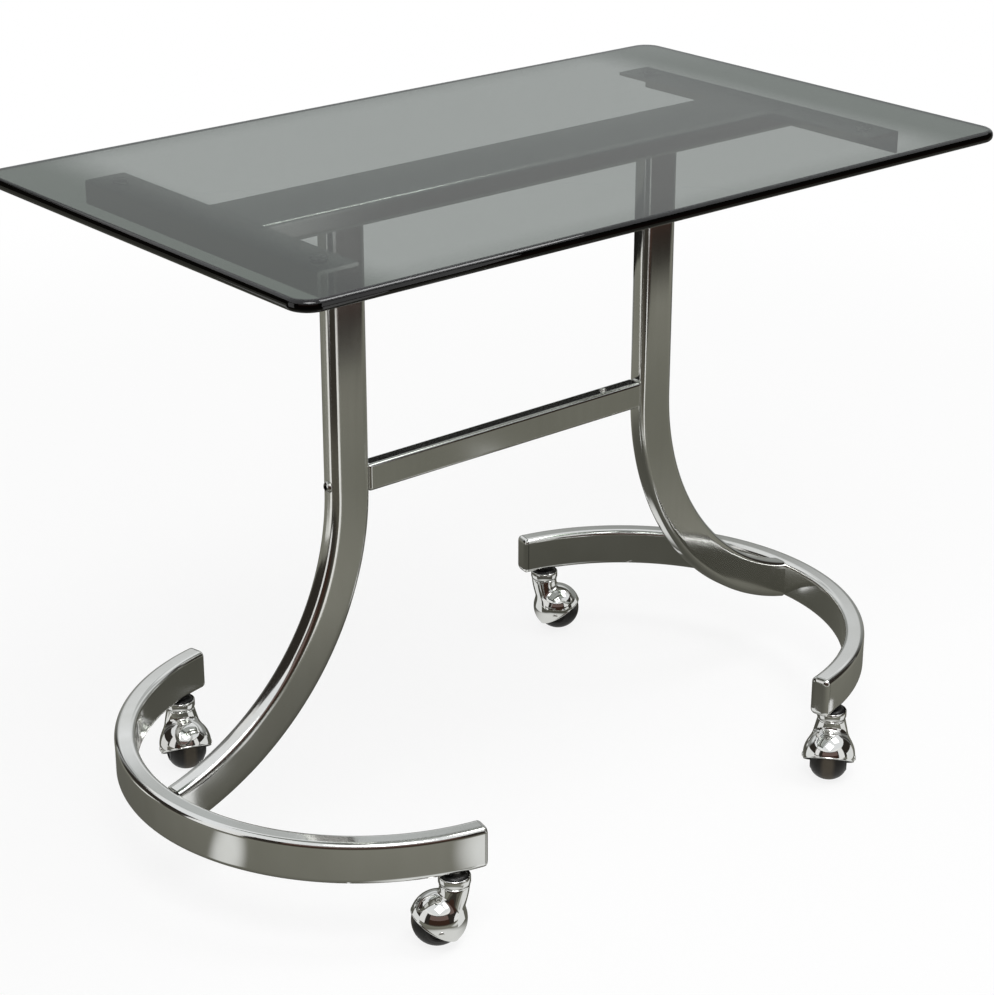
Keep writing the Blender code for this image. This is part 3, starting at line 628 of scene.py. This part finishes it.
def build_legs(chrome):
    """J-shaped legs: a rounded outline carried straight down and round one arc, to the foot's inner face."""
    foot_low, foot_high = span("foot_right")
    width = foot_high[2] - foot_low[2]
    foot_middle = (foot_low[2] + foot_high[2]) / 2
    for side, sign in SIDES.items():
        node = "leg_" + side
        low, high = span(node)
        depth = high[1] - low[1]
        inner_x, end_x = sorted((abs(low[0]), abs(high[0])))
        leg_x = inner_x + width / 2
        bend = math.acos(1 - (end_x - leg_x) / LEG_BEND_RADIUS)
        bend_start = foot_middle + LEG_BEND_RADIUS * math.sin(bend)
        turn = np.concatenate([np.zeros(LEG_STRAIGHT_STEPS), np.linspace(0.0, bend, LEG_BEND_STEPS)])
        straight = np.linspace(high[2] - bend_start, 0.0, LEG_STRAIGHT_STEPS, endpoint=False)
        above = np.concatenate([straight, np.zeros(LEG_BEND_STEPS)])
        x = leg_x + LEG_BEND_RADIUS * (1 - np.cos(turn))
        z = bend_start - LEG_BEND_RADIUS * np.sin(turn) + above
        centres = np.column_stack([x, np.zeros_like(x), z])
        across = np.column_stack([-np.cos(turn), np.zeros_like(turn), -np.sin(turn)])
        outline = rounded_outline(width, depth, TUBE_CORNER_RADIUS, steps=4, support=LEG_CORNER_RELIEF)
        rows = carry(outline, centres, across, Y_AXIS)
        onward = np.array([math.sin(bend), 0.0, -math.cos(bend)])
        inner = FOOT_RADIUS - depth / 2 + WELD_BITE
        face_x = FOOT_CENTRE_X + np.sqrt(inner ** 2 - rows[-1, :, 1] ** 2)
        rows[-1] += ((face_x - rows[-1, :, 0]) / onward[0])[:, None] * onward
        rows *= [sign, 1.0, 1.0]
        add_piece(f"leg_tube_{side}", closed_skin(rows, caps=True), chrome, "frame", "chrome", node)


def build_stretcher(chrome):
    """A flat bar: a rounded outline carried along X and drawn in at its eased ends."""
    low, high = span("stretcher")
    middle = (low + high) / 2
    height = high[2] - low[2]
    flat = STRETCHER_END_RADIUS + SUPPORT_GAP
    ends = np.vstack([[flat, 0.0], quarter_edge(STRETCHER_END_RADIUS, steps=3)[::-1], [0.0, flat]])
    reach = (high[0] - low[0]) / 2 + RUN_GAP
    stations = np.concatenate([ends[:, 1] - reach, reach - ends[::-1, 1]])
    insets = np.concatenate([ends[:, 0], ends[::-1, 0]])
    rows = []
    for x, inset in zip(stations, insets):
        corner = max(STRETCHER_EDGE_RADIUS - inset, ARRIS_RADIUS)
        outline = rounded_outline(STRETCHER_DEPTH - 2 * inset, height - 2 * inset, corner)
        rows.append(carry(outline, np.array([[x, *middle[1:]]]), Y_AXIS, Z_AXIS)[0])
    bar = closed_skin(np.array(rows), caps=True)
    add_piece("stretcher_bar", bar, chrome, "frame", "chrome", "stretcher")


def bolt_skin(sign, seat, radius, level):
    """A button head with a hexagon recess: circles that turn into hexagons.

    A hexagon's radius is a / cos of the angle to its nearest flat.
    """
    angle = np.linspace(0.0, 2 * math.pi, BOLT_STEPS, endpoint=False)
    flat = np.mod(angle + math.pi / 6, math.pi / 3) - math.pi / 6
    hexagon = 1.0 / np.cos(flat)
    shank = BOLT_SHANK_SHARE * radius
    sweep = np.linspace(0.0, BOLT_DOME_SWEEP, DOME_STEPS)
    wide = radius * (np.cos(sweep) + BOLT_DOME_BULGE * np.sin(sweep))
    high = BOLT_HEAD_HEIGHT * np.sin(sweep) / math.sin(BOLT_DOME_SWEEP)
    rings = np.vstack([
        [(0.0, -BOLT_SHANK_LENGTH, 0.0), (shank, -BOLT_SHANK_LENGTH, 0.0)],
        [(shank, 0.0, 0.0), (radius, 0.0, 0.0)],
        np.column_stack([wide, high, np.zeros_like(sweep)]),
        np.array(BOLT_RECESS) * [radius, BOLT_HEAD_HEIGHT, 1.0]])
    ring_radius, out, share = rings.T[..., None]
    around = ring_radius * (1 - share + share * hexagon)
    x = sign * (seat + np.broadcast_to(out, around.shape))
    # The recess's innermost rings are marked for the painted black shade.
    hollow = np.repeat(np.arange(len(rings)) >= len(rings) - BOLT_SHADED_RINGS, BOLT_STEPS)
    points = np.stack([x, around * np.cos(angle), level + around * np.sin(angle)], axis=-1)
    return closed_skin(points, marks=hollow)


def build_bolts(steel):
    """The two bolts, with their heads outside the legs."""
    for side, sign in SIDES.items():
        node = "stretcher_bolt_" + side
        low, high = span(node)
        outer = high[0] if sign > 0 else -low[0]
        bolt = bolt_skin(sign, outer - BOLT_HEAD_HEIGHT, (high[1] - low[1]) / 2, (low[2] + high[2]) / 2)
        add_piece(f"bolt_head_{side}", bolt, steel, "frame", "steel", node, mark="hollow")


def build_screw(steel):
    """The small screw on top of the stretcher: a shank and a dome, turned about Z."""
    low, high = span("stretcher_screw")
    radius = (high[0] - low[0]) / 2
    shank = radius * SCREW_SHANK_SHARE
    seat = span("stretcher")[1][2]
    profile = np.vstack([(0.0, low[2]), (shank, low[2]), (shank, seat), dome(radius, high[2] - seat, seat)])
    centre = (low + high) / 2 * [1.0, 1.0, 0.0]
    screw = closed_skin(turned(profile, centre, Z_AXIS, X_AXIS, steps=32))
    add_piece("stretcher_screw_head", screw, steel, "frame", "steel", "stretcher_screw")


def plug_rows(width, height, seat, across, outward):
    """A tube-end plug: an outline at each level of a domed rim, a quarter oval, from its seat outwards."""
    spread = PLUG_EDGE_INSET / PLUG_EDGE_DEPTH
    steps = [(PLUG_SEAT_EASE, 0.0), (0.0, PLUG_SEAT_RISE)]
    steps += [(inset * spread, PLUG_PLATE - drop) for inset, drop in quarter_edge(PLUG_EDGE_DEPTH)]
    steps.append((PLUG_EDGE_INSET + PLUG_FLAT_GAP, PLUG_PLATE))
    rows = []
    for inset, level in steps:
        outline = rounded_outline(width - 2 * inset, height - 2 * inset, TUBE_CORNER_RADIUS - inset / 2)
        rows.append(carry(outline, (seat + level * outward)[None], across, Z_AXIS)[0])
    return np.array(rows)


def build_feet(chrome):
    """C-shaped feet: a rounded outline carried round a level arc, and a plug at each end."""
    for side, sign in SIDES.items():
        node = "foot_" + side
        low, high = span(node)
        leg_low, leg_high = span("leg_" + side)
        depth, height = leg_high[1] - leg_low[1], high[2] - low[2]
        middle = (low[2] + high[2]) / 2
        angle = np.linspace(-FOOT_HALF_ANGLE, FOOT_HALF_ANGLE, FOOT_STEPS)
        outwards = np.column_stack([sign * np.cos(angle), np.sin(angle), np.zeros_like(angle)])
        centre = np.array([sign * FOOT_CENTRE_X, 0.0, middle])
        outline = rounded_outline(depth, height, TUBE_CORNER_RADIUS)
        rows = carry(outline, centre + FOOT_RADIUS * outwards, outwards, Z_AXIS)
        add_piece(f"foot_tube_{side}", closed_skin(rows, caps=True), chrome, "frame", "chrome", node)
        for end, way in ENDS.items():
            across = np.array([sign * math.cos(FOOT_HALF_ANGLE), way * math.sin(FOOT_HALF_ANGLE), 0.0])
            onward = np.array([-sign * math.sin(FOOT_HALF_ANGLE), way * math.cos(FOOT_HALF_ANGLE), 0.0])
            seat = centre + FOOT_RADIUS * across + RUN_GAP * onward
            plug = closed_skin(plug_rows(depth, height, seat, across, onward), caps=True)
            add_piece(f"foot_plug_{end}_{side}", plug, chrome, "frame", "chrome", f"foot_cap_{end}_{side}")


def hood_field(points, trail, body):
    """Distance to the hood's outside: a ball and a leaning oval neck, joined with a small fillet.

    The neck is widest across the axle at the ball's middle, and narrows evenly to a circle under the lip.
    """
    x, y, z = np.moveaxis(points, -1, 0)
    ball = np.sqrt(x * x + y * y + z * z) - HOOD_RADIUS
    rise = np.clip(z / body, 0.0, 1.0)
    share = ease(rise)
    lean = NECK_ROOT_TRAIL + (trail - NECK_ROOT_TRAIL) * share
    length = NECK_GROOVE_RADIUS + (NECK_RADIUS - NECK_GROOVE_RADIUS) * share
    width = NECK_ROOT_HALF_WIDTH + (NECK_RADIUS - NECK_ROOT_HALF_WIDTH) * rise
    neck = np.maximum.reduce([np.hypot(x + lean, y * length / width) - length, z - body, -z])
    close = np.maximum(HOOD_BLEND - np.abs(ball - neck), 0.0) / HOOD_BLEND
    return np.minimum(ball, neck) - close * close * HOOD_BLEND / 4


def hood_rows(trail, body, columns=112, rows=80, inner_rows=24):
    """The hood's skin from its crown, down the outside, round the rim and up the inside.

    A ray leaves a point inside for each way between the crown and the rim circle, and the outside is where it
    last leaves the joined ball and neck. The inside is a ball.
    """
    crown = np.array([-math.sin(HOOD_TILT), 0.0, math.cos(HOOD_TILT)])
    onward = np.array([math.cos(HOOD_TILT), 0.0, math.sin(HOOD_TILT)])
    turn = np.linspace(0.0, 2 * math.pi, columns, endpoint=False)
    around = np.cos(turn)[:, None] * onward + np.sin(turn)[:, None] * Y_AXIS
    drop = HOOD_RIM_DROP * math.cos(HOOD_TILT)
    rim_radius = math.sqrt(HOOD_RADIUS ** 2 - drop ** 2)
    to_rim = unit(rim_radius * around - drop * crown - HOOD_EYE)
    angle = np.arccos(to_rim @ crown)
    share = np.linspace(0.0, 1.0, rows)[:, None]
    ways = np.sin((1 - share) * angle)[..., None] * crown + np.sin(share * angle)[..., None] * to_rim
    ways = unit(ways)
    reach = np.linspace(*HOOD_RAY, HOOD_RAY_STEPS)
    depth = hood_field(HOOD_EYE + ways[..., None, :] * reach[:, None], trail, body)
    last = reach.size - 2 - np.argmax((depth < 0)[..., -2::-1], axis=-1)
    before = np.take_along_axis(depth, last[..., None], -1)[..., 0]
    after = np.take_along_axis(depth, last[..., None] + 1, -1)[..., 0]
    length = reach[last] + (reach[1] - reach[0]) * before / (before - after)
    outside = HOOD_EYE + ways * length[..., None]

    inner = HOOD_RADIUS - HOOD_WALL
    inner_rim = math.sqrt(inner ** 2 - drop ** 2)
    bead = [(rim_radius + out, drop + below) for out, below in HOOD_RIM_BEAD]
    bead.append((inner_rim, drop + HOOD_INNER_RIM_FALL))
    radius, fall = np.array(bead).T[..., None, None]
    rim = radius * around - fall * crown
    polar = math.acos(-drop / inner) * np.linspace(1.0, 0.0, inner_rows)[:, None, None]
    inside = inner * (np.sin(polar) * around + np.cos(polar) * crown)
    return np.concatenate([outside, rim, inside])


def lip_profile(body, groove, top):
    """Radius and height along the neck's end: its bead, its groove, the lip's outside and the lip's cup."""
    brink = top + NECK_LIP_RISE
    cup = NECK_LIP_RADIUS - NECK_LIP_WALL
    profile = [(0.0, body + NECK_BEAD[0][1])]
    profile += [(radius, body + up) for radius, up in NECK_BEAD]
    profile.append((NECK_GROOVE_RADIUS, body + NECK_GROOVE_EASE))
    profile.append((NECK_GROOVE_RADIUS, groove - NECK_GROOVE_EASE))
    profile += [(NECK_LIP_RADIUS + out, groove + up) for out, up in NECK_LIP_FOOT]
    profile += [(NECK_LIP_RADIUS + out, brink + up) for out, up in NECK_LIP_BRINK]
    profile += [(cup + out, brink + up) for out, up in NECK_CUP_BRINK]
    profile += [(cup, top - NECK_CUP_DEPTH), (0.0, top - NECK_CUP_DEPTH)]
    return profile


def build_bearing_cap(name, stem, black_steel):
    """A bored cap turned about the stem: a brim, and a cove, a quarter oval from it up to the cap's neck."""
    low, high = span(name + "_bearing_cap")
    brim = (high[0] - low[0]) / 2
    bore = STEM_RADIUS + RUN_GAP
    fall = brim - BEARING_CAP_NECK_RADIUS
    rise = min(BEARING_CAP_COVE_HEIGHT, high[2] - low[2] - BEARING_CAP_BRIM - RUN_GAP)
    angle = np.linspace(0.0, math.pi / 2, BEARING_CAP_COVE_STEPS)
    cove = np.column_stack([
        brim - fall * (1 - np.cos(angle)), low[2] + BEARING_CAP_BRIM + rise * np.sin(angle)])
    profile = np.vstack([
        (bore, low[2]), (brim - BEARING_CAP_EASE, low[2]), (brim, low[2] + BEARING_CAP_EASE), cove,
        (BEARING_CAP_NECK_RADIUS, high[2]), (bore, high[2])])
    cover = closed_skin(turned(profile, stem, Z_AXIS, X_AXIS), ring=True)
    add_piece(name + "_cover", cover, black_steel, "frame", "black_steel", name + "_bearing_cap")


def build_wheel(corner, axle, axle_way, heading, rubber):
    """A barrel wheel: its tread falls away from the middle as an ellipse, to dished sides and a bore."""
    radius = axle[2]
    node = f"caster_{corner}_wheel"
    solid = frame["nodes"][node].data
    places = np.empty(3 * len(solid.vertices), np.float32)
    solid.vertices.foreach_get("co", places)
    half = np.ptp(places.reshape(-1, 3).astype(float) @ axle_way) / 2
    sweep = np.linspace(0.0, math.asin(WHEEL_TREAD_SHARE), WHEEL_TREAD_STEPS)
    tread = np.column_stack([radius - WHEEL_SHOULDER_DEPTH * (1 - np.cos(sweep)), half * np.sin(sweep)])
    edge = tread[-1, 0]
    bore = AXLE_RADIUS + RUN_GAP
    side = [(edge - inward, half - deep) for inward, deep in WHEEL_RIM]
    side += [(bore + outward, half - deep) for outward, deep in WHEEL_HUB]
    upper = np.vstack([tread, side])
    lower = upper[:0:-1] * [1.0, -1.0]
    profile = np.vstack([upper, lower])
    grid = turned(profile, axle, axle_way, heading, steps=96)
    marks = np.repeat(profile[:, 1] / half, grid.shape[1])
    wheel = closed_skin(grid, ring=True, marks=marks)
    add_piece(f"wheel_{corner}_tread", wheel, rubber, "wheel_" + corner, "black_rubber", node, mark="across")


def build_caster(corner, hood_chrome, steel, black_steel, rubber):
    """One caster about its swivel, turned to its heading: hood, rivets, neck lip, bearing cap and wheel."""
    name = "caster_" + corner
    swivel = np.array(JOINTS["swivel_" + corner]["pos_m"])
    axle = np.array(JOINTS["roll_" + corner]["pos_m"])
    axle_way = np.array(JOINTS["roll_" + corner]["axis"])
    heading = np.cross(axle_way, Z_AXIS)
    trail = float((axle - swivel) @ heading) - AXLE_LEAD
    stem = np.array([swivel[0], swivel[1], 0.0])
    ball = stem + trail * heading + (axle[2] + AXLE_DROP) * Z_AXIS
    top = span(name + "_hood")[1][2]
    groove = top - NECK_LIP_HEIGHT
    body = groove - NECK_GROOVE_HEIGHT

    local = hood_rows(trail, body - ball[2])
    hood = closed_skin(ball + local[..., :1] * heading + local[..., 1:2] * axle_way + local[..., 2:] * Z_AXIS)
    add_piece(name + "_ball", hood, hood_chrome, name, "chrome", name + "_hood", sharp=HOOD_SHARP_ANGLE)

    reach = math.sqrt(HOOD_RADIUS ** 2 - AXLE_LEAD ** 2 - AXLE_DROP ** 2)
    head = np.vstack([(0.0, -RIVET_BITE), (RIVET_RADIUS, -RIVET_BITE), dome(RIVET_RADIUS, RIVET_HEIGHT)])
    for side, way in SIDES.items():
        place = ball + AXLE_LEAD * heading - AXLE_DROP * Z_AXIS + way * reach * axle_way
        rivet = closed_skin(turned(head, place, way * axle_way, heading, steps=32))
        add_piece(f"{name}_rivet_{side}", rivet, hood_chrome, name, "chrome")

    lip = closed_skin(turned(lip_profile(body, groove, top), stem, Z_AXIS, X_AXIS))
    add_piece(name + "_lip", lip, hood_chrome, name, "chrome")
    build_bearing_cap(name, stem, black_steel)
    build_wheel(corner, axle, axle_way, heading, rubber)
    for piece in ("socket", "stem", "axle"):
        finish_node(f"{name}_{piece}", steel)


def stage_sheet(name, grid, finish, mirrored_only=True):
    """A sheet of the setting over a grid of points. One that only mirrors see gives no shadow or light."""
    rows, columns = grid.shape[:2]
    index = np.arange(rows * columns).reshape(rows, columns)
    quads = np.stack([index[:-1, :-1], index[:-1, 1:], index[1:, 1:], index[1:, :-1]], axis=-1)
    mesh = bpy.data.meshes.new(name)
    mesh.from_pydata(grid.reshape(-1, 3).tolist(), [], quads.reshape(-1, 4).tolist())
    mesh.materials.append(finish)
    made = bpy.data.objects.new(name, mesh)
    bpy.context.scene.collection.objects.link(made)
    if mirrored_only:
        made.visible_camera = False
        made.visible_diffuse = False
        made.visible_transmission = False
        made.visible_volume_scatter = False
        made.visible_shadow = False


def level_sheet(name, reach, height, finish, mirrored_only=True):
    """A level square sheet about the table."""
    side = np.array([-reach, reach])
    x, y = np.meshgrid(side, side)
    stage_sheet(name, np.stack([x, y, np.full_like(x, height)], axis=-1), finish, mirrored_only)


def upright_sheet(name, bearings, distance, heights, finish):
    """A curved upright sheet: a strip of a cylinder about the table's middle."""
    angle = np.radians(np.linspace(*bearings, SHEET_COLUMNS))
    ring = distance * np.column_stack([np.cos(angle), np.sin(angle)])
    rows = [np.column_stack([ring, np.full(SHEET_COLUMNS, height)]) for height in heights]
    stage_sheet(name, np.stack(rows), finish)


def floor_sector(name, place, bearings, reach, finish):
    """A sector of a ring on the floor about a place: place + length * (cos b, sin b)."""
    angle = np.radians(np.linspace(*bearings, SECTOR_COLUMNS))
    ring = np.column_stack([np.cos(angle), np.sin(angle)])
    level = np.full(SECTOR_COLUMNS, SECTOR_HEIGHT)
    rows = [np.column_stack([np.array(place) + length * ring, level]) for length in reach]
    stage_sheet(name, np.stack(rows), finish)


def caster_card(name, corner, bearing, finish):
    """A small upright card beside a caster, square to the bearing from its axle."""
    x, y, _ = JOINTS["roll_" + corner]["pos_m"]
    away = np.array([math.cos(bearing), math.sin(bearing), 0.0])
    foot = np.array([x, y, 0.0]) + CASTER_CARD_DISTANCE * away
    across = CASTER_CARD_HALF_WIDTH * np.cross(Z_AXIS, away)
    lower = np.stack([foot - across, foot + across])
    stage_sheet(name, np.stack([lower, lower + CASTER_CARD_HEIGHT * Z_AXIS]), finish)


def stretcher_flag(finish):
    """The dark card behind the stretcher, an upright rectangle."""
    y, ends, heights = STRETCHER_FLAG
    x, z = np.meshgrid(ends, heights)
    stage_sheet("stretcher_flag", np.stack([x, np.full_like(x, y), z], axis=-1), finish)


def seen_rays(nodes):
    """1 for rays that show a surface as it looks: straight, mirrored and through glass."""
    straight, mirrored, through = nodes.node("ShaderNodeLightPath", output=(
        "Is Camera Ray", "Is Glossy Ray", "Is Transmission Ray"))
    return nodes.node("ShaderNodeMath", {"operation": "ADD", "use_clamp": True}, {
        0: straight + mirrored, 1: through})


def glow(nodes, tint):
    """Light of one colour."""
    return nodes.node("ShaderNodeEmission", inputs={"Color": tint, "Strength": 1.0})


def glow_finish(name, tint):
    """A card of an even tone."""
    material, nodes = new_finish(name)
    nodes.finish(surface=glow(nodes, colour(*tint)))
    return material


def floor_finish():
    """A white floor that keeps a soft shadow near the table."""
    material, nodes = new_finish("pale_floor")
    x, y, _ = nodes.axes()
    whiteness = nodes.fade(x * x + y * y, *SHADOW_FADE) * SHADOW_SHARE + (1.0 - SHADOW_SHARE)
    matt = nodes.node("ShaderNodeBsdfDiffuse", inputs={"Color": colour(0.86, 0.86, 0.86)})
    nodes.finish(surface=nodes.node("ShaderNodeMixShader", inputs={
        0: seen_rays(nodes) * whiteness, 1: matt, 2: glow(nodes, colour(*WHITE))}))
    return material


def mirrored_floor_finish():
    """The floor as the plate mirrors it: olive grey, shaded under the table, pale in spots, dark in front."""
    material, nodes = new_finish("mirrored_floor_tone")
    x, y, _ = nodes.axes()

    def spot(place, reach):
        """1 in the middle of an oval, 0 outside it."""
        u = (x - place[0]) * (1 / reach[0])
        v = (y - place[1]) * (1 / reach[1])
        return 1.0 - nodes.fade(u * u + v * v, *SPOT_FADE)

    tone = nodes.blend(nodes.noise(2.4, detail=3.0), colour(0.165, 0.167, 0.135), colour(0.29, 0.285, 0.25))
    tone = nodes.blend(spot(*TABLE_SHADE) * 0.66, tone, colour(0.02, 0.02, 0.016))
    tone = nodes.blend(spot(*RIGHT_SHADE) * 0.25, tone, colour(0.02, 0.025, 0.012))
    swivels = np.array([JOINTS["swivel_" + corner]["pos_m"][:2] for corner in CORNERS])
    glare = [(place, (CASTER_GLARE_REACH,) * 2) for place in (swivels + CASTER_GLARE).tolist()]
    for place, reach in (*PALE_SPOTS, *glare):
        tone = nodes.blend(spot(place, reach), tone, colour(0.80, 0.81, 0.80))
    brown, black = colour(0.060, 0.034, 0.026), colour(0.010, 0.009, 0.008)
    dark = nodes.blend(nodes.fade(y, *FLOOR_DARK_FADE), brown, black)
    tone = nodes.blend(nodes.fade(y, *FLOOR_EDGE_FADE), dark, tone)
    nodes.finish(surface=glow(nodes, tone))
    return material


def back_finish(name, distance, banded):
    """A pale sheet behind the table that fades to the dark room at its ends, and may have a bright band."""
    material, nodes = new_finish(name)
    x, y, height = nodes.axes()
    tone = plain = colour(0.52, 0.54, 0.54)
    if banded:
        share = nodes.fade(height, *BOARD_LOW_FADE) * 0.6 + nodes.fade(height, *BOARD_HIGH_FADE) * 0.4
        band = nodes.blend(share, colour(0.30, 0.31, 0.30), colour(0.96, 0.98, 1.0))
        tone = nodes.blend(nodes.fade(height, *BOARD_TOP_FADE), band, plain)
    facing = x * (math.cos(BACK_BEARING) / distance) + y * (math.sin(BACK_BEARING) / distance)
    tone = nodes.blend(nodes.fade(facing, *BACK_END_FADE), colour(*ROOM_TONE), tone)
    nodes.finish(surface=glow(nodes, tone))
    return material


def build_mirrored_sheets():
    """The floor, ceiling, walls and cards that only the plate and the glass mirror."""
    level_sheet("mirrored_floor", *MIRRORED_FLOOR, mirrored_floor_finish())
    level_sheet("mirrored_ceiling", *MIRRORED_CEILING, glow_finish("ceiling_tone", (0.90, 0.92, 0.94)))
    for name, (*sheet, tint) in WALLS.items():
        upright_sheet(name, *sheet, glow_finish(name + "_tone", tint))
    upright_sheet("back_wall", *BACK_WALL, back_finish("back_wall_tone", BACK_WALL[1], False))
    upright_sheet("back_board", *BACK_BOARD, back_finish("back_board_tone", BACK_BOARD[1], True))
    for name, (*sector, tint) in FLOOR_SECTORS.items():
        floor_sector(name, *sector, glow_finish(name + "_tone", tint))
    stretcher_flag(glow_finish("flag_tone", (0.008, 0.008, 0.007)))
    card = glow_finish("caster_card_tone", (0.86, 0.87, 0.87))
    for corner in CORNERS:
        for side, bearing in CASTER_CARD_BEARINGS.items():
            caster_card(f"caster_card_{corner}_{side}", corner, math.radians(bearing), card)


def build_surround():
    """A white surround, which gives less light than it shows."""
    world = bpy.data.worlds.new("surround")
    world.use_nodes = True
    bpy.context.scene.world = world
    nodes = Nodes(world.node_tree)
    light, seen = (
        nodes.node("ShaderNodeBackground", inputs={"Color": colour(*WHITE), "Strength": strength})
        for strength in (SURROUND_LIGHT, SURROUND_SEEN))
    both = nodes.node("ShaderNodeMixShader", inputs={0: seen_rays(nodes), 1: light, 2: seen})
    nodes.node("ShaderNodeOutputWorld", inputs={"Surface": both})


def area_lamp(name, place, size, power):
    """A soft square lamp that points at the table."""
    lamp = bpy.data.lights.new(name, "AREA")
    lamp.shape = "SQUARE"
    lamp.size = size
    lamp.energy = power
    made = bpy.data.objects.new(name, lamp)
    made.location = place
    away = unit(np.array(place) - np.array(LAMP_AIM))
    side = unit(np.cross(LAMP_UPWARD, away))
    lamp_axes = np.column_stack([side, np.cross(away, side), away])
    made.rotation_euler = Matrix(lamp_axes.tolist()).to_euler()
    bpy.context.scene.collection.objects.link(made)


def build_camera():
    """The photograph's viewpoint."""
    camera = bpy.data.cameras.new("camera")
    camera.sensor_fit = "HORIZONTAL"
    camera.sensor_width = SENSOR_WIDTH
    camera.lens = FOCAL_PIXELS / FRAME_WIDTH * SENSOR_WIDTH
    camera.clip_end = CAMERA_FAR
    made = bpy.data.objects.new("camera", camera)
    turn = (Matrix.Rotation(-CAMERA_HEADING, 4, "Z") @ Matrix.Rotation(math.pi / 2 - CAMERA_PITCH, 4, "X")
            @ Matrix.Rotation(CAMERA_ROLL, 4, "Z"))
    made.matrix_world = Matrix.Translation(CAMERA_PLACE) @ turn
    bpy.context.scene.collection.objects.link(made)
    bpy.context.scene.camera = made


def build_table():
    """Every piece of the table, with its finish."""
    # The bars under the glass get a darker copy of the plate: painted shade.
    shaded_bar_chrome = chrome_finish("bar_chrome_look", sheen=0.10, shade=0.8)
    leg_chrome = chrome_finish("leg_chrome_look", sheen=0.09, streak=(3.0, 1.0, 0.15))
    foot_chrome = chrome_finish("foot_chrome_look", sheen=0.07, streak=(1.0, 1.0, 0.2))
    hood_chrome = chrome_finish("hood_chrome_look", sheen=0.03)
    steel = steel_finish()
    black_steel = black_steel_finish()
    rubber = rubber_finish()
    clear = clear_plastic_finish()
    build_glass(glass_finish())
    build_crossbars(shaded_bar_chrome)
    build_rail(shaded_bar_chrome)
    build_legs(leg_chrome)
    build_stretcher(leg_chrome)
    build_bolts(steel)
    build_screw(steel)
    build_feet(foot_chrome)
    for corner in CORNERS:
        build_caster(corner, hood_chrome, steel, black_steel, rubber)
        finish_node("glass_pad_" + corner, clear)


def build_setting():
    """What the table stands in: floor, mirrored sheets, surround, lamps and camera."""
    level_sheet("floor", *FLOOR, floor_finish(), mirrored_only=False)
    build_mirrored_sheets()
    build_surround()
    for name, lamp in LAMPS.items():
        area_lamp(name, *lamp)
    build_camera()
    bpy.context.scene.view_settings.view_transform = "Standard"


build_table()
build_setting()
